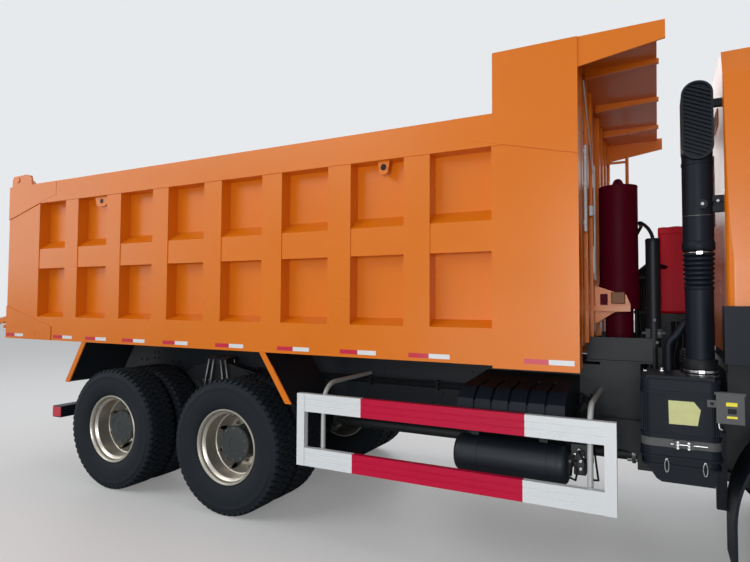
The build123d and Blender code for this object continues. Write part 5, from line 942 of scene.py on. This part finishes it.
def make_bed_details():
    ear, dark, rims, pale, cable = shapes(5)
    outline = ((0.004, 2.888), (0.008, 2.976), (0.03, 3.006), (0.262, 3.008), (0.338, 2.972), (0.346, 2.888))
    ear.prism([(BED_REAR + x, 1.226, z) for x, z in outline], (0, 0.012, 0))
    pin = BED_REAR + 0.11
    ear.bar(pin, (1.19, 1.226), 2.985, 0.019, 20).bar(pin, (1.236, 1.246), 2.962, 0.03, 24)
    bevel(ear.mirrored().done("tail_ear_plates", ORANGE, "bed", smooth=35), 0.003)
    ring = [(0.023, 0.0), (0.031, 0.0), (0.031, 0.003), (0.023, 0.003)]
    # Dark discs on the lugs are painted shade in their bores, with orange rims round them
    for x in (BED_REAR + 1.422, BED_FRONT - 1.281):
        dark.bar(x, (1.2245, 1.2262), 2.64, 0.024, 24)
        rims.lathe(ring, (x, 1.224, 2.64), (0, 1, 0), 28)
    dark.mirrored().done("lug_bore_painted_shade", RUBBER, "bed", slot="orange_paint")
    rims.mirrored().done("lug_rims", ORANGE, "bed", smooth=35)
    # Bearing of the hoist's trunnion on the outside of each arm, in the arm's orange darkened to brown as
    # painted shade
    cap = Shape().box((HOIST_X - 0.04, HOIST_X + 0.052), (0.208, 0.246), (1.7, 1.786))
    bevel(cap.mirrored().done("trunnion_bearings", ARM_SHADED_ORANGE, "bed"), 0.006)
    # Thin maroon sheet on each arm's web: painted shade standing in for the recess behind it
    arm_recess_shade = Shape().box((HOIST_X - 0.118, HOIST_X - 0.066), (0.2098, 0.2115), (1.69, 1.772))
    arm_recess_shade.mirrored().done("arm_recess_painted_shade", MAROON, "bed", slot="orange_paint")
    # Pale pipes, their clips and a thin cable down the headboard's right half
    for y, low, high, r, n in (
        (-0.735, 2.18, 2.76, 0.011, 12), (-0.18, 1.88, 2.745, 0.012, 12), (-0.3, 1.925, 2.12, 0.022, 16),
    ):
        pale.tube([(1.452, y, low), (1.452, y, high)], r, n)
    pale.bar(1.452, -0.42, (2.33, 2.4), 0.02, 14)
    for y, z in ((-0.735, 2.24), (-0.735, 2.5), (-0.735, 2.72), (-0.18, 2.0), (-0.18, 2.35), (-0.18, 2.7)):
        pale.box((1.436, 1.462), near(y, 0.02), near(z, 0.012))
    pale.done("headboard_pipes", WHITE, "bed", smooth=50)
    run = [(1.462, -0.88, 3.15), (1.464, -0.76, 3.0), (1.466, -0.56, 2.82), (1.466, -0.42, 2.64)]
    cable.tube(run, 0.0045, n=8)
    cable.done("headboard_cable", PALE_TUBE, "bed", smooth=60)


# Frame: bolts at the cross members, air lines and the valve cluster ahead of the air tanks

VALVE_PARTS = (  # middle and half sizes
    (1.44, -1.01, 0.8, 0.05, 0.06, 0.05), (1.44, -1.01, 0.7, 0.035, 0.045, 0.04),
    (1.44, -0.93, 0.885, 0.04, 0.035, 0.03), (1.45, -1.06, 0.745, 0.022, 0.03, 0.07),
)
VALVE_FITTINGS = (
    (1.44, -1.071, 0.82), (1.415, -1.071, 0.79), (1.465, -1.071, 0.778), (1.43, -1.056, 0.715),
    (1.452, -1.092, 0.76), (1.452, -1.092, 0.715), (1.428, -0.966, 0.89), (1.455, -0.966, 0.88),
)
VALVE_HOSES = (
    ((1.44, -1.102, 0.82), (1.45, -1.128, 0.805), (1.48, -1.12, 0.76), (1.5, -1.02, 0.7), (1.49, -0.8, 0.69),
     (1.44, -0.47, 0.78)),
    ((1.415, -1.102, 0.79), (1.405, -1.13, 0.77), (1.4, -1.12, 0.7), (1.392, -1.08, 0.66),
     (1.388, -1.062, 0.66)),
    ((1.465, -1.102, 0.778), (1.49, -1.125, 0.74), (1.52, -1.08, 0.65), (1.53, -0.9, 0.6), (1.48, -0.6, 0.7),
     (1.44, -0.47, 0.85)),
    ((1.43, -1.088, 0.715), (1.432, -1.11, 0.69), (1.42, -1.1, 0.64), (1.385, -1.06, 0.64)),
    ((1.428, -0.998, 0.89), (1.42, -1.02, 0.93), (1.41, -0.94, 0.985), (1.4, -0.7, 1.0), (1.4, -0.46, 1.04)),
    ((1.455, -0.998, 0.88), (1.48, -1.02, 0.9), (1.5, -0.96, 0.96), (1.48, -0.7, 0.98), (1.45, -0.46, 1.06)),
)


def make_frame_bolts():
    bolts = Shape()
    members = (-3.09, -2.62, -1.895, -1.18, -0.6, 0.28, 0.96, 1.58, 2.42, 3.7)
    for places, half, heights, r, h in (
        (members, 0.045, (0.885, 0.98, 1.075), 0.011, 0.009),
        ((-2.9, -2.2, -0.9, -0.15, 0.6, 1.3), 0.03, (1.1, 1.16), 0.009, 0.008),
    ):
        for x, z in ((x, z) for place in places for x in near(place, half) for z in heights):
            bolts.bar(x, (0.428, 0.433), z, r * 1.35).bar(x, (0.43, 0.43 + h), z, r, 6)
    bolts.mirrored().done("frame_bolts", CHASSIS)


def make_air_lines():
    lines = Shape()
    for k in range(4):
        y, z = -0.452 - 0.014 * (k % 2), 1.02 + 0.016 * k
        run = [(-1.7, y, z), (-0.6, y, z + 0.004), (0.5, y, z), (1.38, y, z), (1.47, y - 0.02, z - 0.05)]
        lines.tube(run, 0.006, n=8)
    for x in (-1.5, -0.9, -0.3, 0.3, 0.62):
        lines.box(near(x, 0.01), (-0.478, -0.43), (1.008, 1.08))
    lines.done("air_lines", RUBBER, smooth=50)


def make_valves():
    """Four-circuit valve and its hoses at the front end of the air tanks."""
    block, steel, hoses = shapes(3)
    for x, y, z, a, b, c in VALVE_PARTS:
        block.box(near(x, a), near(y, b), near(z, c))
    block.bar(1.44, -1.01, (0.85, 0.905), 0.03, 20).bar(1.44, (-1.095, -1.06), 0.7, 0.026, 20)
    block.box((1.395, 1.42), (-1.05, -0.425), (0.925, 0.945)).box((1.395, 1.42), (-1.03, -0.99), (0.84, 0.93))
    bevel(block.done("valve_block", CAST, smooth=35), 0.004)
    for x, y, z in VALVE_FITTINGS:
        steel.bar(x, (y, y - 0.022), z, 0.0085, 6).bar(x, (y - 0.018, y - 0.034), z, 0.006, 10)
    steel.bar(1.44, -1.01, (0.905, 0.917), 0.01, 6).done("valve_fittings", STEEL, smooth=40)
    for points in VALVE_HOSES:
        hoses.tube(points, 0.0065, n=10)
    hoses.done("valve_hoses", RUBBER, smooth=60)


def make_air_tank_details():
    """Straps, seams and drains of the air tanks, and the latches of the battery's cover."""
    bands, drains, latch = shapes(3)
    strap = [(0.121, -0.02), (0.1255, -0.02), (0.1255, 0.02), (0.121, 0.02)]
    seam = [(0.1205, -0.004), (0.123, -0.002), (0.123, 0.002), (0.1205, 0.004)]
    for y, z in ((-1.06, 0.715), (-0.8, 0.745)):
        for x in (0.81, 1.24):
            bands.lathe(strap, (x, y, z), (1, 0, 0), 48)
            bands.box(near(x, 0.016), near(y, 0.012), (z + 0.118, z + 0.15))
        for x in (0.73, 1.32):
            bands.lathe(seam, (x, y, z), (1, 0, 0), 48)
        drains.bar(1.025, y, (z - 0.118, z - 0.15), 0.011, 10).bar((1.378, 1.398), y, z + 0.02, 0.014, 6)
    bands.done("air_tank_straps", CHASSIS, smooth=35)
    drains.done("air_tank_drains", STEEL, smooth=40)
    for x in (0.77, 1.3):
        latch.box(near(x, 0.018), (-1.182, -1.168), (0.88, 0.96)).bar(x, (-1.186, -1.174), 0.9, 0.012, 12)
    bevel(latch.done("battery_latches", RUBBER, smooth=35), 0.002)


make_bed_details()
make_frame_bolts()
make_air_lines()
make_valves()
make_air_tank_details()


# Cab: seals, handles, wipers, mirror glass, lamps and hatch

DOOR_WINDOW = ((3.22, 2.03), (3.22, 2.77), (3.84, 2.77), (4.0, 2.12), (4.0, 2.03))


def skin_y(z):
    """Distance of the cab's side face from the middle plane at a height."""
    return 1.15 - 0.025 * min(max((z - 1.94) / 1.015, 0.0), 1.0)


def screen_x(z):
    """X of the cab front's outer face beside the windscreen."""
    return CAB_FRONT - 0.02 - 0.21 / 1.085 * (z - 1.9)


def grow(outline, d):
    """Outline of (a, b) points moved outwards by a distance, for a convex outline."""
    ca, cb = (sum(p[k] for p in outline) / len(outline) for k in (0, 1))
    lines = []
    for (a0, b0), (a1, b1) in zip(outline, outline[1:] + outline[:1]):
        na, nb = b1 - b0, a0 - a1
        size = math.hypot(na, nb)
        if na * (a0 - ca) + nb * (b0 - cb) < 0:
            size = -size
        na, nb = na / size, nb / size
        lines.append((na, nb, na * a0 + nb * b0 + d))
    out = []
    for (n0, m0, c0), (n1, m1, c1) in zip(lines[-1:] + lines[:-1], lines):
        det = n0 * m1 - n1 * m0
        out.append(((c0 * m1 - c1 * m0) / det, (n0 * c1 - n1 * c0) / det))
    return out


def frame_ring(shape, outline, width, place, out, deep):
    """Flat ring round an opening; place turns (a, b, height) into a point."""
    inner, outer = grow(outline, -0.002), grow(outline, width)
    loops = ((inner, -deep), (outer, -deep), (outer, out), (inner, out))
    return shape.add([place(a, b, h) for loop, h in loops for a, b in loop], quads(4, len(outline), True))


def rectangle(a, b):
    return ((a[0], b[0]), (a[1], b[0]), (a[1], b[1]), (a[0], b[1]))


def make_cab_windows():
    """Window seals, door handles and wipers."""
    for side, word in SIDES:
        seal, cup, pull = shapes(3)
        frame_ring(seal, DOOR_WINDOW, 0.022, lambda a, b, h: (a, side * (skin_y(b) + h), b), 0.004, 0.012)
        seal.done(f"window_seal_{word}", RUBBER, f"door_{word}", smooth=30)
        cup.box((3.17, 3.33), (side * 1.149, side * 1.1525), (1.87, 1.935))
        pull.box((3.18, 3.32), (side * 1.1515, side * 1.17), (1.912, 1.93))
        pull.bar(3.3, (side * 1.15, side * 1.156), 1.888, 0.011)
        bevel(cup.done(f"handle_cup_{word}", RUBBER, f"door_{word}"), 0.0015)
        bevel(pull.done(f"door_handle_{word}", PLASTIC, f"door_{word}", smooth=35), 0.004)
    for name, y, z, width, place in (
        ("rear_window_seal", 0.52, (2.22, 2.62), 0.026, lambda a, b, h: (CAB_REAR - h, a, b)),
        ("windscreen_seal", 1.03, (1.96, 2.895), 0.024, lambda a, b, h: (screen_x(b) + h, a, b)),
    ):
        frame_ring(Shape(), rectangle((-y, y), z), width, place, 0.004, 0.012).done(name, RUBBER, "cab")
    wipers = Shape()
    for y in (-0.62, 0.26):
        foot = (screen_x(1.925) + 0.016, y, 1.925)
        wipers.bar((foot[0] - 0.02, foot[0] + 0.008), y, 1.925, 0.018)
        wipers.tube([foot, (screen_x(2.33) + 0.022, y + 0.36, 2.33)], 0.007, n=8)
        low, high = (screen_x(2.06) + 0.01, y + 0.475, 2.06), (screen_x(2.59) + 0.01, y + 0.245, 2.59)
        wipers.tube([low, (screen_x(2.33) + 0.022, y + 0.36, 2.33), high], 0.0075, n=8)
    wipers.done("wipers", RUBBER, "cab", smooth=50)


def make_cab_details():
    """Pressings of the rear wall, mirror glass, marker lamps on the visor and the roof's hatch."""
    panels, vent_slot_shade, mirror, marks = shapes(4)
    for z in (1.76, 1.84):
        panels.box((CAB_REAR - 0.004, CAB_REAR + 0.001), (-0.86, 0.86), (z, z + 0.03))
    for y in (-0.84, 0.6):
        panels.box((CAB_REAR - 0.006, CAB_REAR + 0.001), (y, y + 0.24), (2.76, 2.86))
        # Thin black strips in the vent pressings: painted shade in the vent slots
        for z in (2.769 + 0.018 * k for k in range(5)):
            vent_slot_shade.box((CAB_REAR - 0.0075, CAB_REAR - 0.005), (y + 0.015, y + 0.225), (z, z + 0.009))
    bevel(panels.done("rear_wall_pressings", ORANGE, "cab"), 0.002)
    vent_slot_shade.done("rear_wall_slot_painted_shade", RUBBER, "cab")
    for z in ((2.205, 2.595), (1.985, 2.115)):
        mirror.box((4.1885, 4.191), (1.248, 1.377), z)
    bevel(mirror.mirrored().done("mirror_glass", MIRROR, "cab"), 0.001)
    for y in (-0.76, -0.38, 0.0, 0.38, 0.76):
        marks.box((CAB_FRONT - 0.318, CAB_FRONT - 0.262), near(y, 0.045), (3.062, 3.132))
    bevel(marks.done("roof_lamps", AMBER, "cab"), 0.012, 3)
    hatch = Shape().box((3.0, 3.64), (-0.33, 0.33), (3.09, 3.168))
    bevel(hatch.done("roof_hatch", PLASTIC, "cab"), 0.016, 3)


make_cab_windows()
make_cab_details()


# Cab interior

SEAT_X, SEAT_Y = (3.17, 3.67), (0.48, 0.96)
SEAT_MID = sum(SEAT_Y) / 2


def pad(name, centre, side, long, out, size, seams):
    """Crowned cushion: sides pulled in between its corners, sewn channels across, flat below."""
    n = 40
    wide = Vector((0, side, 0))
    steps = [math.sin(math.pi * (k / n - 0.5)) for k in range(n + 1)]
    verts = []
    for low in (False, True):
        for u in steps:
            for v in steps:
                a = size[0] * u * (1.0 - 0.035 * (1.0 - v * v))
                b = size[1] * v * (1.0 - 0.03 * (1.0 - u * u))
                edge = max((1.0 - abs(u) ** 7) * (1.0 - abs(v) ** 7), 0.0) ** 0.4
                h = size[2] * edge * (0.88 + 0.12 * (1.0 - u * u) * (1.0 - v * v))
                for seam in seams:
                    h -= 0.009 * math.exp(-(((v - seam) / 0.028) ** 2)) * (1.0 - abs(u) ** 4)
                for seam in (-0.62, 0.62):
                    h -= 0.009 * math.exp(-(((u - seam) / 0.024) ** 2)) * (1.0 - abs(v) ** 4)
                verts.append(centre + wide * a + long * b + out * (-0.012 * edge if low else max(h, 0.0)))
    faces = quads(n + 1, n + 1, ring=False)
    faces += [tuple(k + (n + 1) ** 2 for k in reversed(q)) for q in faces]
    obj = piece(name, verts, faces, FABRIC, "cab", 60)
    mend(obj.data, weld=0.0004)


def make_seats():
    lean = Vector((-0.135, 0.0, 0.68)).normalized()
    ahead = Vector((lean.z, 0.0, -lean.x))
    base = Shape().box(inset(SEAT_X, 0.06), inset(SEAT_Y, 0.06), (1.43, 1.7))
    base.box(inset(SEAT_X, 0.01), inset(SEAT_Y, 0.015), (1.69, 1.772))
    shell = bevel(base.mirrored().done("seat_bases", PLASTIC, "cab"), 0.012, 3)
    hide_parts("cab_interior")
    for side, word in SIDES:
        seat = Vector((sum(SEAT_X) / 2, side * SEAT_MID, 1.78))
        back = Vector((SEAT_X[0], side * SEAT_MID, 1.9)) + lean * 0.325
        up, along = Vector((0, 0, 1)), Vector((1, 0, 0))
        pad(f"seat_cushion_{word}", seat, side, along, up, (0.238, 0.248, 0.12), (-0.35, 0.25))
        pad(f"seat_back_{word}", back, side, lean, ahead, (0.236, 0.33, 0.105), (-0.45, 0.0, 0.45))


def make_dashboard():
    dash, vents, wheel = shapes(3)
    x = CAB_FRONT
    outline = ((0.34, 1.63), (0.42, 1.85), (0.33, 1.93), (0.084, 1.93), (0.078, 1.9), (0.066, 1.63))
    dash.prism([(x - back, -1.038, z) for back, z in outline], (0, 2.076, 0))
    dash.box((x - 0.44, x - 0.33), near(SEAT_MID, 0.19), (1.905, 1.985))
    bevel(dash.done("dashboard", PLASTIC, "cab"), 0.018, 3)
    for y in (-0.9, -0.56, -0.16, 0.16, 0.98):
        for k in range(5):
            z = 1.78 + 0.014 * k
            vents.box((x - 0.4185 + 0.0045 * k, x - 0.405), near(y, 0.06), (z, z + 0.008))
    vents.done("dash_vents", RUBBER, "cab")
    centre = Vector((x - 0.455, SEAT_MID, 2.065))
    axis = Vector((-math.sin(math.radians(35)), 0, math.cos(math.radians(35))))
    wheel.lathe([(0.21 + 0.015 * c, 0.015 * s) for c, s in circle(12)], centre, axis, 72)
    wheel.rod(centre - axis * 0.03, centre + axis * 0.006, 0.062, n=32, r2=0.052)
    cross = Vector((0, 1, 0))
    for way in (cross, -cross, axis.cross(cross)):
        wheel.rod(centre - axis * 0.012 + way * 0.05, centre + way * 0.205, 0.016, n=10, r2=0.011)
    wheel.rod(centre - axis * 0.26, centre - axis * 0.028, 0.045, n=24, r2=0.032)
    wheel.done("steering_wheel", RUBBER, "cab", smooth=45)


make_seats()
make_dashboard()


# Lamps, reflectors and blank plates at both ends


def make_lamps():
    rings, lenses, amber, red, yellow = shapes(5)
    ring = [(0.05, -0.01), (0.058, -0.01), (0.06, 0.004), (0.056, 0.01), (0.05, 0.004)]
    lens = [(0.0, 0.01), (0.024, 0.008), (0.044, 0.001), (0.05, -0.006), (0.0, -0.01)]
    for y in (0.905, 1.02):
        rings.lathe(ring, (NOSE - 0.072, y, 0.74), (1, 0, 0.08), 40)
        lenses.lathe(lens, (NOSE - 0.072, y, 0.74), (1, 0, 0.08), 40, False)
    amber.box((NOSE - 0.088, NOSE - 0.064), (1.085, 1.14), (0.665, 0.81))
    amber.box((4.04, 4.1), (1.204, 1.21), (1.215, 1.245))
    rings.mirrored().done("headlamp_rings", STEEL, smooth=40)
    lenses.mirrored().done("headlamp_lenses", MIRROR, smooth=40)
    bevel(amber.mirrored().done("front_indicators", AMBER), 0.003)
    back, face = REAR_BAR_X - 0.01, REAR_BAR_X
    for k in range(4):
        y = 0.41 + 0.082 * k
        (yellow if k == 3 else red).box((back - 0.012, back + 0.002), (y, y + 0.072), (0.682, 0.788))
    red.box((face - 0.002, face + 0.125), (1.126, 1.133), (0.548, 0.642))
    red.box((face - 0.003, face + 0.002), (1.04, 1.126), (0.548, 0.642))
    bevel(red.mirrored().done("rear_lamp_red", TAPE_RED), 0.003)
    bevel(yellow.mirrored().done("rear_lamp_amber", AMBER), 0.003)
    Shape().box((face - 0.004, face + 0.001), (-0.22, 0.22), (0.555, 0.635)).done("rear_plate_blank", WHITE)
    Shape().box((NOSE - 0.003, NOSE), (-0.22, 0.22), (0.56, 0.68)).done("front_plate_blank", WHITE)


# Tanks and exhaust on the left, steps, and the running gear seen from below


def chamfered(y, z, c):
    """Rectangle of (y, z) points with its corners cut off."""
    (y0, y1), (z0, z1) = inset(y, c), inset(z, c)
    return ((y[0], z0), (y[0], z1), (y0, z[1]), (y1, z[1]), (y[1], z1), (y[1], z0), (y1, z[0]), (y0, z[0]))


def make_left_side():
    straps, cap, case, treads = shapes(4)
    for shape, places, outline, width, deep in (
        (straps, (0.33, 1.03), chamfered((0.556, 1.184), (0.596, 1.124), 0.094), 0.0045, 0.024),
        (case, (1.56, 1.91), chamfered((0.5, 1.0), (0.62, 1.01), 0.06), 0.004, 0.018),
    ):
        for x in places:
            frame_ring(shape, outline, width, lambda a, b, h: (x + h, a, b), deep, deep)
    straps.done("fuel_tank_straps", STEEL, smooth=30)
    profile = [(0.0, 1.118), (0.062, 1.118), (0.062, 1.14), (0.056, 1.146), (0.05, 1.168), (0.0, 1.172)]
    cap.lathe(profile, (1.16, 0.9, 0), n=40, closed=False)
    cap.bar(0.68, 0.86, (1.118, 1.132), 0.045, 32).done("fuel_caps", RUBBER, smooth=40)
    for x in (1.6 + 0.03 * k for k in range(9)):
        case.box((x, x + 0.012), (0.998, 1.004), (0.7, 0.93))
    case.done("exhaust_straps", STEEL_DARK, smooth=30)
    for z in (0.4555, 0.7915, 1.301):
        for y in (0.915 + 0.03 * k for k in range(9)):
            treads.box((STEP_X + 0.04, STEP_X + 0.43), (y, y + 0.012), (z - 0.003, z + 0.004))
    treads.mirrored().done("step_treads", STEEL_DARK)


def make_running_gear():
    """Cardan joints of the drive shafts, covers of the axle cases and the front brake pots."""
    dark, steel, pots = shapes(3)
    flange = [(0.03, -0.012), (0.078, -0.012), (0.078, 0.012), (0.03, 0.012)]
    for x in (REAR_AXLES[0] + 0.33, REAR_AXLES[1] + 0.33, 1.7, -1.48):
        for c, s in circle(4, 0.5):
            steel.bar(near(x, 0.045), 0.058 * c, SHAFT_Z + 0.058 * s, 0.016, 10)
        steel.lathe(flange, (x, 0, SHAFT_Z), (1, 0, 0), 36)
    cover = [(0.12, 0.0), (0.196, 0.0), (0.2, 0.01), (0.12, 0.014)]
    for axle in REAR_AXLES:
        dark.lathe(cover, (axle - 0.075, 0, HUB_Z), (-1, 0, 0), 48)
        for c, s in circle(12):
            steel.bar((axle - 0.083, axle - 0.095), 0.176 * c, HUB_Z + 0.176 * s, 0.01, 6)
    for s in (1, -1):
        brake_chamber(pots, (FRONT_AXLE - 0.15, s * 0.5, 0.52), (-0.95, 0.0, 0.25), 0.07)
        pots.box((FRONT_AXLE - 0.17, FRONT_AXLE - 0.04), (s * 0.46, s * 0.54), (0.47, 0.54))
    pots.done("front_brake_pots", CHASSIS, smooth=40)
    dark.done("axle_covers", CAST, smooth=40)
    steel.done("shaft_joints", STEEL_DARK, smooth=40)


make_lamps()
make_left_side()
make_running_gear()


# Floor, backdrop and lights

FLOOR_BOUNCE = (0.4, 0.41, 0.41)
FLOOR_SEEN = (0.62, 0.63, 0.63)
FLOOR_LIFT = 0.17
BACK_SEEN = (0.8, 0.82, 0.84)
WORLD_LIGHT = (0.8, 0.83, 0.88)
WORLD_LEVEL = 0.32
LAMPS = (  # name, place, target, size, power, colour
    ("key", (-7.0, -9.0, 8.0), (-0.5, 0, 1.2), (8.0, 5.0), 430.0, (1.0, 0.98, 0.95)),
    ("top", (0.0, 1.0, 11.0), (0, 0, 0), (14.0, 8.0), 250.0, (1, 1, 1)),
    ("front", (2.1, -9.0, 2.3), (1.95, 0.0, 1.7), (1.6, 2.0), 215.0, (1, 1, 1)),
    ("low", (0.6, -8.5, 0.9), (0.8, -1.0, 0.8), (6.0, 1.2), 60.0, (1, 1, 1)),
    ("glare", (-13.0, -7.0, 4.5), (-3.0, -1.2, 2.4), (7.0, 5.0), 170.0, (1, 1, 1)),
    ("fill", (-3.0, 11.0, 6.5), (0.0, 0.0, 1.2), (9.0, 5.0), 300.0, (1, 1, 1)),
)


def plain_floor():
    mesh = bpy.data.meshes.new("floor")
    s = 60.0
    mesh.from_pydata([(-s, -s, 0), (s, -s, 0), (s, s, 0), (-s, s, 0)], [], [(0, 1, 2, 3)])
    floor = add_object("floor", mesh)
    mat = material("floor_pale", FLOOR_BOUNCE)
    tree = mat.node_tree
    seen = add_node(tree, "LightPath").outputs["Is Camera Ray"]
    colors = {"A": (*FLOOR_BOUNCE, 1.0), "B": (*FLOOR_SEEN, 1.0), "Factor": seen}
    mix = add_node(tree, "Mix", colors, data_type="RGBA")
    lift = add_node(tree, "Math", {0: seen, 1: FLOOR_LIFT}, operation="MULTIPLY")
    feed(tree, tree.nodes["Principled BSDF"], {
        "Base Color": mix.outputs["Result"], "Emission Color": (1.0, 1.0, 1.0, 1.0),
        "Emission Strength": lift.outputs["Value"],
    })
    floor.data.materials.append(mat)


def make_world():
    """Dim world as light, and a pale one for what the camera, gloss and glass see."""
    world = bpy.data.worlds.new("world")
    bpy.context.scene.world = world
    world.use_nodes = True
    tree = world.node_tree
    light = tree.nodes["Background"]
    feed(tree, light, {"Color": (*WORLD_LIGHT, 1.0), "Strength": WORLD_LEVEL})
    pale = add_node(tree, "Background", {"Color": (*BACK_SEEN, 1.0)})
    path = add_node(tree, "LightPath")
    seen = path.outputs["Is Camera Ray"]
    for ray in ("Is Glossy Ray", "Is Transmission Ray"):
        seen = add_node(tree, "Math", {0: seen, 1: path.outputs[ray]}, operation="MAXIMUM").outputs["Value"]
    mix = add_node(tree, "MixShader", {0: seen, 1: light.outputs["Background"], 2: pale.outputs["Background"]})
    feed(tree, tree.nodes["World Output"], {"Surface": mix.outputs["Shader"]})
    bpy.context.scene.view_settings.view_transform = "Standard"


def area_light(name, pos, target, size, power, color):
    data = bpy.data.lights.new(name, "AREA")
    data.shape = "RECTANGLE"
    data.size, data.size_y = size
    data.energy = power
    data.color = color
    lamp = add_object(name, data)
    lamp.location = pos
    lamp.rotation_euler = (Vector(target) - Vector(pos)).to_track_quat("-Z", "Y").to_euler()


plain_floor()
make_world()
for lamp in LAMPS:
    area_light(*lamp)
